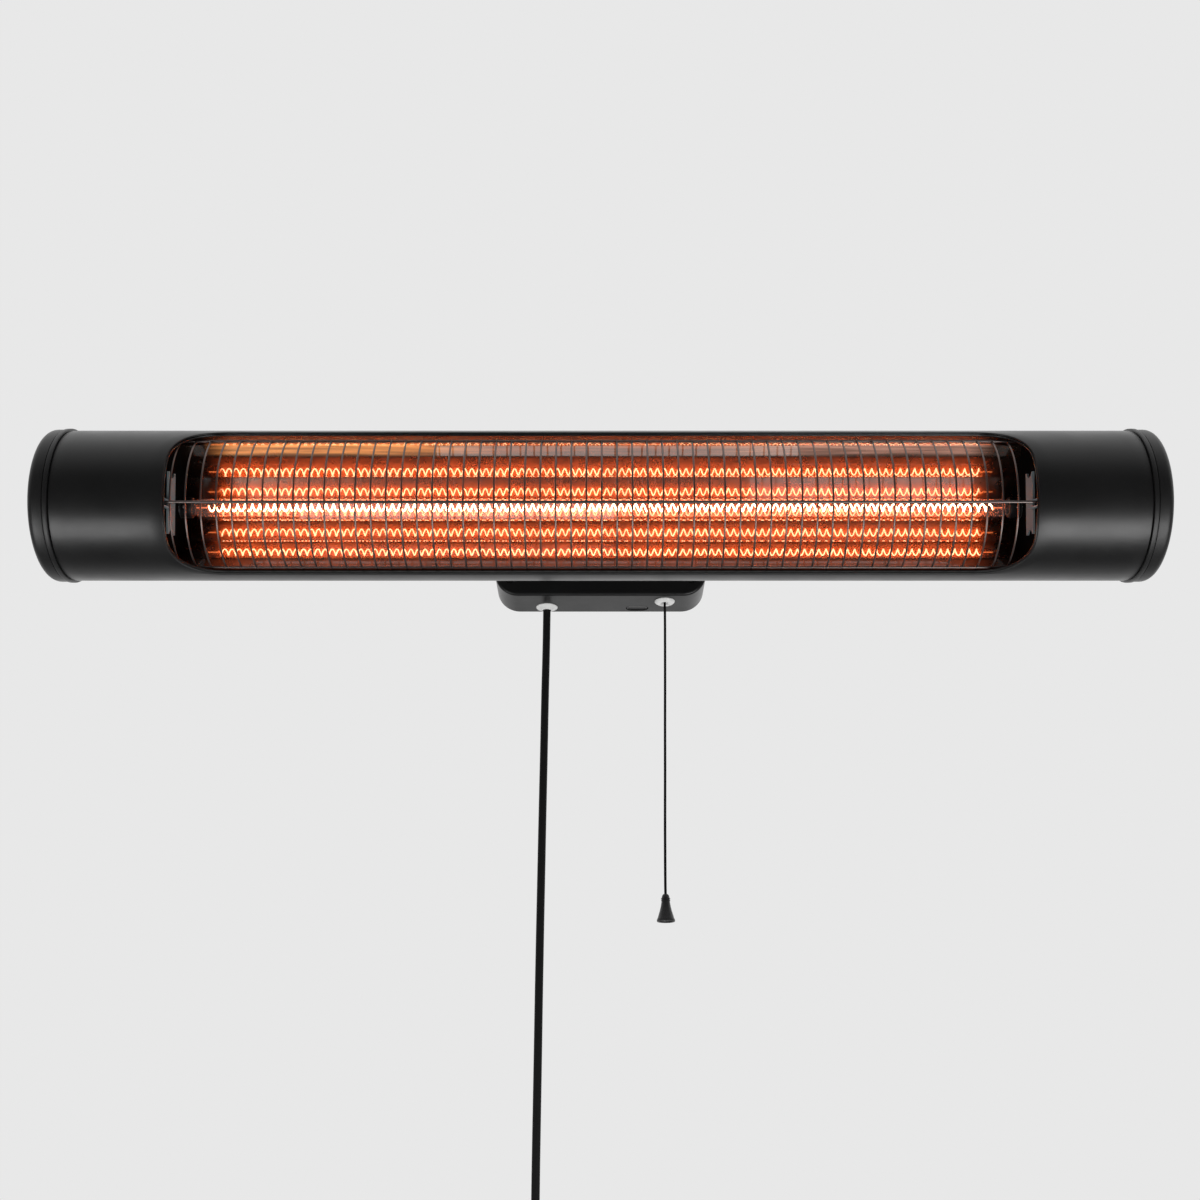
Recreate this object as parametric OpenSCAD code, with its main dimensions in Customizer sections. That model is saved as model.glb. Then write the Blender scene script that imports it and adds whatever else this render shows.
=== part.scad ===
// Wall-mounted tubular infrared bar heater: a tilting tube with a wired window, one quartz lamp in
// a folded reflector, and a wall box with a mains lead and a pull-cord switch.
// Frame: origin on the wall plane at the centre of the wall bolts, +Y into the wall, +Z up, +X right.

/* [Heater tube] */
// Outside diameter of the tube
tube_d = 120; // [116:1:128]
// Length of the tube between the end caps
tube_len = 842; // [780:2:1000]
// Wall of the tube
tube_wall = 1.5; // [1:0.1:2]
// Distance of the tube axis from the wall
axis_out = 128; // [126:1:140]
// Height of the tube axis above the centre of the wall bolts
axis_up = -9; // [-12:1:-6]
// How far the window faces below level at rest
rest_tilt = 19; // [10:1:25]

/* [Window] */
// Length of closed tube at each end of the window
closed_len = 87.5; // [80:0.5:120]
// Half of the angle that the window opens
window_half_deg = 69; // [60:1:70]
// Corner radius on the unrolled tube
window_corner = 40; // [20:1:50]
// Width of the dark lip behind the window's edge
trim_w = 4; // [2:0.5:6]
// How far the lip shows inside the window's edge
trim_reach = 1; // [0.5:0.1:4]
// Sheet of the lip
trim_wall = 1.2; // [0.8:0.1:1.6]

/* [End caps] */
// Length of a cap outside the tube
cap_len = 16.5; // [14:0.5:30]
// How far the cap's lip stands proud of the tube
cap_lip_proud = 1.6; // [1:0.1:3]
// Width of the cap's lip
cap_lip_w = 3.5; // [2:0.5:5]
// How far the cap's barrel stands proud of the tube
cap_proud = 0.8; // [0:0.1:0.9]
// Rounding of the cap's outer edge
cap_round = 6; // [3:0.5:8]
// Wall of a cap
cap_wall = 2.5; // [2:0.1:3]
// Length of the spigot inside the tube
spigot_len = 12; // [10:1:20]

/* [Wire guard] */
// Number of bowed wires
guard_wires = 56; // [40:1:60]
// Distance from the window's ends to the outer bowed wires, on average
guard_margin = 9; // [8:0.5:14]
// Thickness of a bowed wire
guard_wire_d = 1.5; // [1:0.1:2]
// Thickness of a long rod
guard_rod_d = 2.2; // [1.8:0.1:3]
// Radius of the guard about the tube axis
guard_r = 54; // [52:0.5:54.5]
// Half of the angle between the outer long rods
guard_half_deg = 66.5; // [60:0.5:68]
// Turn of the guard below the window's middle
guard_turn = -2.7; // [-3:0.1:0]
// Shift of the guard along the tube
guard_shift = -5; // [-6:0.5:6]

/* [Lamp and reflector] */
// Distance past the window's ends of the bulkheads that carry lamp and reflector
bulkhead_past = 6.5; // [6:0.5:10]
// Sheet of the bulkheads
bulkhead_t = 1.2; // [1:0.1:2]
// Half height of the reflector's mouth
mouth_half = 50; // [46:1:52]
// Depth of the reflector's mouth behind the tube axis
mouth_back = 3.5; // [0:0.5:5]
// Sheet of the reflector
reflector_t = 0.8; // [0.5:0.1:1.2]
// Lamp axis behind the tube axis
lamp_back = 14; // [12:1:16]
// Outside diameter of the quartz tube
lamp_d = 14; // [12:1:16]
// Wall of the quartz tube
lamp_wall = 1.1; // [0.8:0.1:1.5]
// Number of turns of the glowing coil
filament_turns = 107; // [60:1:108]
// Radius of the glowing coil
filament_r = 2.8; // [2.5:0.1:4]
// Thickness of the coil's strand
strand_d = 1.1; // [0.8:0.1:1.4]
// Unlit length at each end of the lamp
cold_len = 10; // [8:1:60]

/* [Wall box] */
// Width of the box
box_w = 180; // [174:1:200]
// Height of the box
box_h = 102; // [100:1:120]
// Depth of the box
box_depth = 40; // [37:1:42]
// Corner radius of the box
box_corner = 20; // [16:1:24]
// Rounding of the box's front edge
box_round = 2.5; // [1.5:0.5:3]
// Wall of the box
box_wall = 2.5; // [2:0.1:3]
// Wall bolts, hole to hole across
bolt_across = 120; // [116:1:124]
// Wall bolts, hole to hole upwards
bolt_up = 56; // [54:1:60]
// Wall bolt hole
bolt_hole_d = 5.5; // [5:0.1:6.5]

/* [Tilt mount] */
// Pivot behind the tube axis
pivot_back = 76; // [74:1:80]
// Pivot bolt
pivot_d = 6; // [5:0.5:8]
// Radius of the ears round the pivot
ear_r = 11; // [9:0.5:12]
// Inside distance between the fork's ears
fork_gap = 80; // [76:1:90]
// Plate of the fork
fork_t = 2.5; // [2:0.1:3]
// Plate of the yoke
yoke_t = 2; // [1.5:0.1:2.5]

/* [Lead and pull cord] */
// Thickness of the mains lead
lead_d = 6.5; // [6:0.1:7]
// Thickness of the pull cord
cord_d = 1.9; // [1.5:0.1:2]
// Travel of the pull cord
pull_travel = 12; // [8:1:13]

/* [Hidden] */
$fn = 64;
fit = 0.1;          // clearance of pieces that fit in each other
seat = 0.3;         // clearance of pieces that only lie near each other
running = 0.05;     // clearance of the pivot bolts
over = 1;           // how far a cutter runs past what it cuts

tube_r = tube_d / 2;
bore_r = tube_r - tube_wall;
half_len = tube_len / 2;
window_len = tube_len - 2 * closed_len;
guard_pitch = (window_len - 2 * guard_margin) / (guard_wires - 1);
bulkhead_x = window_len / 2 + bulkhead_past;

// Places along and across the wall box
underside = -box_h / 2;
lead_at = [-46.5, -11];
pull_at = [55, -25];
lead_flange_r = 9.3;
lead_flange_t = 1.2;
pull_flange_r = 8.7;
pull_flange_t = 2.5;
blank_at = [31.7, -8.2];
blank_r = 5.7;
blank_len = 19.4;
blank_sunk = 1;
cavity_front = -(box_depth - box_wall);
plate_t = 2.5;
post_r = 4;
post_in = [12.5, 14];
box_post = [box_w / 2 - post_in[0], box_h / 2 - post_in[1]];
screw_r = 1.9;
screw_head_r = 3.4;
screw_head_h = 1.8;
cover_screw_len = 12;
fork_screw_len = 15;
yoke_screw_len = 8;

// The fork on the front of the box, and the pivot in front of it
pivot_y = -axis_out + pivot_back * cos(rest_tilt);
pivot_z = axis_up + pivot_back * sin(rest_tilt);
fork_x = fork_gap / 2;
fork_h = 36;
fork_screw = [20, 11];
sleeve_r = 4.5;
sleeve_flange_r = 7.5;
sleeve_flange_t = 2.5;
washer_t = 0.7;
yoke_x = fork_x - washer_t - 2 * fit;
saddle_x = yoke_x;
saddle_deg = 22;
saddle_screw = [20, 15];
knob_r = 10;
knob_t = 9;

// Fold points of the reflector, half height and depth behind the tube axis, from the middle out
reflector_folds = [[8.4, 32], [26.3, 23.5], [41.3, 9.4], [mouth_half, mouth_back]];
glass_end = bulkhead_x - 10;
filament_len = 2 * (glass_end - cold_len);
pinch_len = 14;
base_len = 22;
base_r = 8.5;
clip_size = [1.2, 24, 34];
clip_collar = 6;
lead_back = 42;
lead_wire_r = 1.5;
strap_size = [1.5, 18, 49];
strap_y = -18;

// Pieces of the pull switch: the spring stands on the bushing and the collar has room to travel
switch_size = [27, 31, 34];
switch_z = underside + 33;
plunger_r = 2.5;
collar_t = 1.5;
spring_seat = underside + box_wall + 1.5 + fit;
spring_pressed = 2.4;
collar_z = spring_seat + spring_pressed + pull_travel + collar_t;

// Points beside a place of the box, counted down from its underside
function hung(at, route) = [for (p = route) [at[0] + p[0], at[1] + p[1], underside + p[2]]];

// Route of the mains lead from the bushing to its coil
lead_route = hung(lead_at, [
    [0, 0, -1], [0, 0, -8], [-0.1, 0, -40], [-0.5, 0, -80], [-0.8, 0, -130], [-1.2, 0, -180],
    [-1.5, 0, -230], [-1.8, 0, -280], [-2, 0, -330], [-2.1, 1, -370], [-2.3, 3, -410],
    [-2.5, 5, -450], [-2.5, 6, -480], [-2.5, 6, -510], [-2.5, 6, -532]]);
// Route of the pull cord from the switch to its knob
cord_route = concat([[pull_at[0], pull_at[1], collar_z]], hung(pull_at, [
    [0, 0, 5], [0, 0, -4], [0, 0, -12], [-0.2, 0, -30], [-0.8, 0, -70], [-1.5, 0, -110],
    [-2.1, 0, -150], [-2.8, 0, -190], [-3.2, 0, -220], [-3.4, 0, -240], [-3.4, 0, -250]]));
// The coil: the turns go round this centre in two layers, in at the back and out at the front
coil_in_r = 26;
coil_pitch = lead_d + 0.7;
coil_turns = 5;
coil_steps = 24;
coil_out_r = coil_in_r + coil_pitch * coil_turns / 2;
coil_start = lead_route[len(lead_route) - 1];
coil_back_y = coil_start[1];
coil_front_y = coil_back_y - coil_pitch;
coil_centre = [coil_start[0] + coil_out_r, coil_start[2] - lead_d];
coil_end = [coil_start[0], coil_front_y, coil_centre[1] - lead_d];
// Route of the lead from the coil to the plug
tail_route = concat([coil_end, coil_end - [0, 0, 11]], hung(lead_at, [
    [-2.5, -2.2, -568], [-2.5, -5, -580], [-2.5, -8, -592], [-2.5, -9.8, -604],
    [-2.5, -10, -610], [-2.5, -10, -615]]));
plug_at = tail_route[len(tail_route) - 1];
plug_r = 18.5;
plug_len = 60;
pin_x = 9.5;
pin_r = 2.4;

// ---- helpers -------------------------------------------------------------------------------

// Puts a piece made about the tube axis, window towards -Y, in its place at rest
module in_head() {
    translate([0, -axis_out, axis_up]) rotate([rest_tilt, 0, 0]) children();
}

// A copy at each end of the tube: the child is made at the right end
module both_ends() {
    children();
    mirror([1, 0, 0]) children();
}

// A cylinder along X from x0 to x1
module rod_x(r, x0, x1) {
    translate([x0, 0, 0]) rotate([0, 90, 0]) cylinder(r = r, h = x1 - x0);
}

// A cylinder along Y from y0 to y1, y0 the one nearer the front
module rod_y(r, y0, y1) {
    translate([0, y1, 0]) rotate([90, 0, 0]) cylinder(r = r, h = y1 - y0);
}

// A flat outline in Y and Z, extruded along X from x0 to x1
module plate_x(x0, x1) {
    translate([x0, 0, 0]) rotate([90, 0, 90]) linear_extrude(x1 - x0) children();
}

// Turns a profile (radius, along X) about the tube axis over an angle counted up from the window's middle
module arc_x(from_deg, to_deg) {
    rotate([0, 90, 0]) rotate([0, 0, 270 - to_deg])
        rotate_extrude(angle = to_deg - from_deg) children();
}

// Looks along a radius of the tube at an angle up from the window's middle, +Z outwards
module on_radius(deg) {
    rotate([-deg, 0, 0]) rotate([90, 0, 0]) children();
}

// A rectangle with round corners
module round_rect(w, h, r) {
    square([w - 2 * r, h], center = true);
    square([w, h - 2 * r], center = true);
    for (x = [-1, 1], y = [-1, 1]) translate([x * (w / 2 - r), y * (h / 2 - r)]) circle(r);
}

// A round-cornered block standing out from the wall, its front edge rounded
module round_front_block(w, h, depth, corner, edge) {
    rotate([90, 0, 0]) {
        linear_extrude(depth - edge) round_rect(w, h, corner);
        linear_extrude(depth) round_rect(w - 2 * edge, h - 2 * edge, corner - edge);
        translate([0, 0, depth - edge]) {
            for (s = [-1, 1]) {
                translate([0, s * (h / 2 - edge), 0]) rotate([0, 90, 0])
                    cylinder(r = edge, h = w - 2 * corner, center = true);
                translate([s * (w / 2 - edge), 0, 0]) rotate([90, 0, 0])
                    cylinder(r = edge, h = h - 2 * corner, center = true);
            }
            for (x = [0, 1], y = [0, 1]) mirror([x, 0, 0]) mirror([0, y, 0])
                translate([w / 2 - corner, h / 2 - corner, 0])
                    rotate_extrude(angle = 90) translate([corner - edge, 0]) circle(edge);
        }
    }
}

// A pan-head screw pointing down -Z, its head's seat at z = 0
module pan_screw(len, r = screw_r, head_r = screw_head_r, head_h = screw_head_h) {
    translate([0, 0, -len]) cylinder(r = r, h = len);
    difference() {
        intersection() {
            cylinder(r = head_r, h = head_h);
            translate([0, 0, head_h - 2 * head_r]) sphere(2 * head_r);
        }
        for (turn = [0, 90]) rotate([0, 0, turn])
            translate([0, 0, head_h]) cube([head_r, 0.8, 1.6], center = true);
    }
}

function unit(v) = v / norm(v);
function left_of(v) = [-v[1], v[0]];

// The point beside fold i of a bent sheet's line, one sheet away
function beside(line, i, t) =
    let (last = len(line) - 1,
         a = left_of(unit(line[max(i, 1)] - line[max(i, 1) - 1])),
         b = left_of(unit(line[min(i, last - 1) + 1] - line[min(i, last - 1)])))
    line[i] + (a + b) * t / (1 + a * b);

// Section of a bent sheet along a line of folds
module bent_sheet(line, t) {
    polygon(concat(line, [for (i = [len(line) - 1:-1:0]) beside(line, i, t)]));
}

// Outline of an opening in the tube, seen along the facing direction; its corners are round on the
// unrolled wall
function opening(half_l, half_deg, corner, steps = 12) =
    let (corner_deg = corner / tube_r * 180 / PI)
    [for (q = [[1, 1], [-1, 1], [-1, -1], [1, -1]], i = [0:steps])
        let (turn = 90 * i / steps, t = q[0] * q[1] > 0 ? turn : 90 - turn)
        [q[0] * (half_l - corner + corner * cos(t)),
         q[1] * tube_r * sin(half_deg - corner_deg + corner_deg * sin(t))]];

function tangent(path, i) = unit(path[min(i + 1, len(path) - 1)] - path[max(i - 1, 0)]);
function square_to(v, t) = unit(v - t * (v * t));
// Directions square to the path, carried along it without twist
function sides_of(path, start) =
    [for (i = 0, v = square_to(start, tangent(path, 0)); i < len(path);
          i = i + 1, v = i < len(path) ? square_to(v, tangent(path, i)) : v) v];

// One closed tube of triangles along a path
module swept_tube(path, r, sides, start = [0, 1, 0]) {
    normals = sides_of(path, start);
    last = len(path) - 1;
    rings = [for (i = [0:last], k = [0:sides - 1])
        let (t = tangent(path, i), u = normals[i], w = cross(t, u), a = 360 * k / sides)
        path[i] + r * (u * cos(a) + w * sin(a))];
    walls = [for (i = [0:last - 1], k = [0:sides - 1], half = [0, 1])
        let (a = i * sides + k, b = i * sides + (k + 1) % sides)
        half == 0 ? [a, a + sides, b] : [b, a + sides, b + sides]];
    near = [for (k = [1:sides - 2]) [0, k, k + 1]];
    far = [for (k = [1:sides - 2]) [last * sides, last * sides + k + 1, last * sides + k]];
    polyhedron(points = rings, faces = concat(near, walls, far));
}

// A smooth curve through the route's points, each span cut into parts
function smooth_path(p, parts) =
    let (last = len(p) - 1)
    concat([for (i = [0:last - 1], k = [0:parts - 1])
        let (a = p[max(i - 1, 0)], b = p[i], c = p[i + 1], d = p[min(i + 2, last)], t = k / parts)
        b + 0.5 * t * (c - a + t * (2 * a - 5 * b + 4 * c - d + t * (3 * (b - c) + d - a)))],
        [p[last]]);

// ---- wall box ------------------------------------------------------------------------------

module bolt_places() {
    for (x = [-1, 1], z = [-1, 1]) translate([x * bolt_across / 2, 0, z * bolt_up / 2]) children();
}

module box_post_places() {
    for (x = [-1, 1], z = [-1, 1]) translate([x * box_post[0], 0, z * box_post[1]]) children();
}

module fork_screw_places() {
    for (x = [-1, 1], z = [-1, 1])
        translate([x * fork_screw[0], 0, pivot_z + z * fork_screw[1]]) children();
}

// Steel back plate with the wall bolt holes and tapped posts that reach the front of the box
module wall_plate() color([0.55, 0.56, 0.57]) {
    gap = box_wall + seat;
    difference() {
        union() {
            rotate([90, 0, 0]) linear_extrude(plate_t)
                round_rect(box_w - 2 * gap, box_h - 2 * gap, box_corner - gap);
            box_post_places() rod_y(post_r, cavity_front + seat, 0);
            fork_screw_places() rod_y(post_r, cavity_front + seat, 0);
        }
        bolt_places() rod_y(bolt_hole_d / 2, -plate_t - over, over);
        box_post_places() rod_y(screw_r + running, -box_depth, -box_depth + 14);
        fork_screw_places() rod_y(screw_r + running, -box_depth, -box_depth + 14);
    }
}

module blank_outline(r, len) {
    square([len - 2 * r, 2 * r], center = true);
    for (s = [-1, 1]) translate([s * (len / 2 - r), 0]) circle(r);
}

// Moulded cover, open to the wall
module box_housing() color([0.05, 0.05, 0.052]) {
    difference() {
        round_front_block(box_w, box_h, box_depth, box_corner, box_round);
        translate([0, over, 0]) rotate([90, 0, 0]) linear_extrude(over - cavity_front)
            round_rect(box_w - 2 * box_wall, box_h - 2 * box_wall, box_corner - box_wall);
        translate([lead_at[0], lead_at[1], underside - over])
            cylinder(r = 6 + fit, h = box_wall + 2 * over);
        translate([pull_at[0], pull_at[1], underside - over])
            cylinder(r = 6 + fit, h = box_wall + 2 * over);
        translate([blank_at[0], blank_at[1], underside - over])
            linear_extrude(box_wall + 2 * over) blank_outline(blank_r, blank_len);
        box_post_places() {
            rod_y(screw_r + fit, -box_depth - over, cavity_front + over);
            rod_y(screw_head_r + fit, -box_depth - over, -box_depth + 1.2);
        }
        fork_screw_places() rod_y(screw_r + fit, -box_depth - over, cavity_front + over);
        translate([0, 0, pivot_z]) rod_y(sleeve_r + fit, -box_depth - over, cavity_front + over);
    }
}

module housing_screws() color([0.3, 0.3, 0.31])
    box_post_places() translate([0, -box_depth + 1.2, 0]) rotate([90, 0, 0]) pan_screw(cover_screw_len);

// Folded fork: a plate on the box and two ears for the pivot bolts
module wall_fork() color([0.07, 0.07, 0.072]) {
    back = -box_depth;
    difference() {
        union() {
            translate([-fork_x - fork_t, back - fork_t, pivot_z - fork_h / 2])
                cube([2 * (fork_x + fork_t), fork_t, fork_h]);
            both_ends() translate([0, pivot_y, pivot_z]) plate_x(fork_x, fork_x + fork_t) {
                circle(ear_r);
                polygon([[0, ear_r], [0, -ear_r], [back - pivot_y, -fork_h / 2],
                         [back - pivot_y, fork_h / 2]]);
            }
        }
        translate([0, pivot_y, pivot_z])
            rod_x(pivot_d / 2 + fit, -fork_x - fork_t - over, fork_x + fork_t + over);
        fork_screw_places() rod_y(screw_r + fit, back - fork_t - over, back + over);
        translate([0, 0, pivot_z]) rod_y(sleeve_flange_r + fit, back - fork_t - over, back + over);
    }
}

module fork_screws() color([0.3, 0.3, 0.31])
    fork_screw_places() translate([0, -box_depth - fork_t, 0]) rotate([90, 0, 0]) pan_screw(fork_screw_len);

// Carriage bolts through yoke, washer, fork and knob
module pivot_bolts() color([0.6, 0.6, 0.62])
    both_ends() translate([0, pivot_y, pivot_z]) {
        rod_x(pivot_d / 2, yoke_x - yoke_t - fit, fork_x + fork_t + fit + knob_t - 2);
        rod_x(ear_r - 4.5, yoke_x - yoke_t - fit - 2, yoke_x - yoke_t - fit);
    }

// Fluted hand knobs that clamp the tilt
module tilt_knobs() color([0.06, 0.06, 0.062])
    both_ends() translate([0, pivot_y, pivot_z]) difference() {
        x0 = fork_x + fork_t + fit;
        union() {
            rod_x(knob_r - 3, x0, x0 + 2);
            rod_x(knob_r, x0 + 2, x0 + knob_t);
        }
        rod_x(pivot_d / 2 + running, x0 - over, x0 + knob_t - 2 + fit);
        for (k = [0:9]) rotate([36 * k, 0, 0]) translate([0, knob_r + 0.9, 0])
            rod_x(1.9, x0 + 1.9, x0 + knob_t + over);
    }

module friction_washers() color([0.45, 0.2, 0.12])
    both_ends() translate([0, pivot_y, pivot_z]) difference() {
        rod_x(ear_r - 2, yoke_x + fit, yoke_x + fit + washer_t);
        rod_x(pivot_d / 2 + running, yoke_x, fork_x);
    }

// Ribbed sleeve that leads the supply wires out of the box, up to the pivot axis
module supply_sleeve() color([0.08, 0.08, 0.08])
    translate([0, 0, pivot_z]) {
        rod_y(sleeve_flange_r, -box_depth - sleeve_flange_t, -box_depth);
        rod_y(sleeve_r, pivot_y, cavity_front + 3);
        for (k = [0:2]) rod_y(sleeve_r + 1, pivot_y + 5 + 3.4 * k, pivot_y + 6.7 + 3.4 * k);
        translate([0, pivot_y, 0]) sphere(sleeve_r);
        rod_y(sleeve_r + 1.6, cavity_front + seat, cavity_front + 3);
    }

// Off-white bushing round the mains lead: thin flange outside, snap collar inside
module lead_bushing() color([0.86, 0.86, 0.83])
    translate([lead_at[0], lead_at[1], underside]) difference() {
        union() {
            translate([0, 0, -lead_flange_t])
                cylinder(r1 = lead_flange_r - 0.8, r2 = lead_flange_r, h = lead_flange_t);
            cylinder(r = 6, h = box_wall + 4);
            translate([0, 0, box_wall + seat]) cylinder(r1 = 7, r2 = 6, h = 3);
        }
        translate([0, 0, -lead_flange_t - over]) cylinder(r = lead_d / 2 + seat, h = 12);
        translate([0, 0, -lead_flange_t - 0.01]) cylinder(r1 = 5.2, r2 = lead_d / 2 + seat, h = 1);
    }

// Off-white bushing round the pull cord: thick flange with a dished mouth
module cord_bushing() color([0.86, 0.86, 0.83])
    translate([pull_at[0], pull_at[1], underside]) difference() {
        union() {
            cylinder(r = 6, h = box_wall + 1.5);
            translate([0, 0, box_wall + seat]) cylinder(r1 = 7, r2 = 6, h = 1.2);
            intersection() {
                translate([0, 0, -pull_flange_t]) cylinder(r = pull_flange_r, h = pull_flange_t);
                translate([0, 0, 10]) sphere(sqrt(pow(pull_flange_r, 2) + pow(11.1, 2)));
            }
        }
        translate([0, 0, -pull_flange_t - over]) cylinder(r = cord_d / 2 + 0.6, h = 12);
        translate([0, 0, -pull_flange_t - 1.4]) sphere(3.2);
    }

// Oval blanking plug, its face a little sunk in the underside
module blanking_plug() color([0.05, 0.05, 0.052])
    translate([blank_at[0], blank_at[1], underside + blank_sunk]) {
        linear_extrude(box_wall - blank_sunk + seat) blank_outline(blank_r - fit, blank_len - 2 * fit);
        translate([0, 0, box_wall - blank_sunk + seat]) linear_extrude(1.2) intersection() {
            blank_outline(blank_r + 1, blank_len + 2);
            translate([-blank_len, -blank_r - 2])
                square([2 * blank_len, blank_r + 2 - blank_at[1] - plate_t - seat]);
        }
    }

// Clamp on the back plate that holds the lead's sheath
module lead_clamp() color([0.5, 0.5, 0.48]) {
    clamp = [15, 16, 10];
    translate([lead_at[0] - clamp[0] / 2, -plate_t - clamp[1], underside + 16]) difference() {
        cube(clamp);
        translate([clamp[0] / 2, clamp[1] + plate_t + lead_at[1], -over])
            cylinder(r = lead_d / 2 + fit, h = clamp[2] + 2 * over);
        for (s = [0, 1]) translate([2.2 + s * (clamp[0] - 4.4), -0.01, clamp[2] / 2]) rotate([-90, 0, 0])
            cylinder(r = 1.3, h = 6);
    }
}

terminal_size = [42, 17, 20];
terminal_z = underside + 20;
terminal_step = 14;

// Six-way screw terminal on the back plate
module terminal_block() color([0.82, 0.8, 0.72])
    translate([-terminal_size[0] / 2, -plate_t - terminal_size[1], terminal_z]) difference() {
        union() {
            cube([terminal_size[0], terminal_size[1] - 4, terminal_size[2]]);
            translate([3, terminal_size[1] - 4, 4]) cube([terminal_size[0] - 6, 4, terminal_size[2] - 8]);
        }
        for (k = [-1:1]) translate([terminal_size[0] / 2 + terminal_step * k, 0, 0]) {
            for (z = [5, terminal_size[2] - 5])
                translate([0, -over, z]) rotate([-90, 0, 0]) cylinder(r = 2, h = 6 + over);
            translate([0, terminal_size[1] + plate_t + lead_at[1], -over])
                cylinder(r = 1.6, h = terminal_size[2] + 2 * over);
        }
        for (s = [-0.5, 0.5]) translate([terminal_size[0] / 2 + terminal_step * s - 0.5, -over, -over])
            cube([1, 4 + over, terminal_size[2] + 2 * over]);
    }

// Sheath end of the lead and the wires to the terminal, the nearest wire to the nearest way
module inner_wires() {
    sheath_top = underside + 29;
    wire_r = 0.9;
    color([0.05, 0.05, 0.05]) translate([lead_at[0], lead_at[1], underside + 1])
        cylinder(r = lead_d / 2, h = sheath_top - underside - 1);
    for (k = [0:2]) color([[0.35, 0.18, 0.08], [0.1, 0.25, 0.6], [0.45, 0.6, 0.1]][k]) {
        up_x = lead_at[0] + 2.1 * (1 - k);
        down_x = terminal_step * (k - 1);
        bend_z = sheath_top + 13 + 3 * k;
        foot_z = terminal_z + terminal_size[2] - 6;
        translate([up_x, lead_at[1], sheath_top - over])
            cylinder(r = wire_r, h = bend_z - sheath_top + over);
        translate([up_x, lead_at[1], bend_z]) sphere(wire_r);
        translate([0, lead_at[1], bend_z]) rod_x(wire_r, up_x, down_x);
        translate([down_x, lead_at[1], bend_z]) sphere(wire_r);
        translate([down_x, lead_at[1], foot_z]) cylinder(r = wire_r, h = bend_z - foot_z);
    }
}

// Pull switch: housing with the plunger's guide bore
module switch_body() color([0.85, 0.84, 0.8])
    difference() {
        union() {
            translate([pull_at[0] - switch_size[0] / 2, -plate_t - switch_size[1], switch_z])
                cube([switch_size[0], switch_size[1], switch_size[2] - 4]);
            translate([pull_at[0] - switch_size[0] / 2 + 3, -plate_t - switch_size[1] + 3, switch_z])
                cube([switch_size[0] - 6, switch_size[1] - 6, switch_size[2]]);
        }
        translate([pull_at[0], pull_at[1], switch_z - over])
            cylinder(r = plunger_r + running, h = -switch_z + over);
    }

// Return spring between the bushing and the plunger's collar
module return_spring() color([0.6, 0.6, 0.62])
    translate([pull_at[0], pull_at[1], spring_seat]) difference() {
        height = collar_z - collar_t - fit - spring_seat;
        cylinder(r = 4.4, h = height);
        translate([0, 0, -over]) cylinder(r = 3.2, h = height + 2 * over);
    }

// ---- pull cord -----------------------------------------------------------------------------

module switch_plunger() color([0.8, 0.79, 0.75])
    translate([pull_at[0], pull_at[1], 0]) {
        translate([0, 0, collar_z]) cylinder(r = plunger_r, h = -collar_z - 1);
        translate([0, 0, collar_z - collar_t]) difference() {
            cylinder(r = 5, h = collar_t);
            translate([0, 0, -over]) cylinder(r = cord_d / 2 + fit, h = collar_t + over);
        }
    }

module pull_cord() color([0.03, 0.03, 0.03])
    swept_tube(smooth_path(cord_route, 3), cord_d / 2, 8, [1, 0, 0]);

// Small bell-shaped knob at the cord's end
module pull_knob() color([0.05, 0.05, 0.052]) {
    rim_r = 6.6;
    rim = 1.4;
    translate(cord_route[len(cord_route) - 1]) difference() {
        union() {
            rotate_extrude() polygon([[0, 0], [2.2, 0], [3.2, -1.2], [3.6, -6], [4.6, -12],
                [rim_r - 0.5, -17.5], [rim_r, -20], [0, -20]]);
            translate([0, 0, -20 - rim]) cylinder(r = rim_r, h = rim);
            translate([0, 0, -20 - rim / 2]) rotate_extrude() translate([rim_r, 0]) circle(rim / 2);
        }
        translate([0, 0, -20 - rim - over]) cylinder(r = 3.6, h = 4.4 + over);
    }
}

// ---- mains lead ----------------------------------------------------------------------------

module mains_lead() color([0.03, 0.03, 0.03])
    swept_tube(smooth_path(lead_route, 2), lead_d / 2, 8, [1, 0, 0]);

// The coil's centreline: straight in, turns inwards, a climb to the front layer, turns outwards,
// straight out
function coil_turn(a) =
    let (mid = coil_turns * 180, off = abs(a - mid), r = coil_in_r + coil_pitch * off / 360,
         climb = max(0, min(1, 0.5 + (a - mid) / 180)), rise = climb * climb * (3 - 2 * climb))
    [coil_centre[0] - r * cos(a), coil_back_y + (coil_front_y - coil_back_y) * rise,
     coil_centre[1] - r * sin(a)];
coil_path = concat([coil_start],
    [for (i = [0:coil_turns * coil_steps]) coil_turn(360 * i / coil_steps)], [coil_end]);

// Least gap between stretches of a path that lie more than skip points apart
function least_gap(path, d, skip) =
    min([for (i = [0:len(path) - 1 - skip], j = [i + skip:len(path) - 1]) norm(path[i] - path[j])]) - d;

module lead_coil() color([0.03, 0.03, 0.03])
    swept_tube(coil_path, lead_d / 2, 6);

module lead_tail() color([0.03, 0.03, 0.03])
    swept_tube(smooth_path(tail_route, 2), lead_d / 2, 8, [1, 0, 0]);

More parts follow.
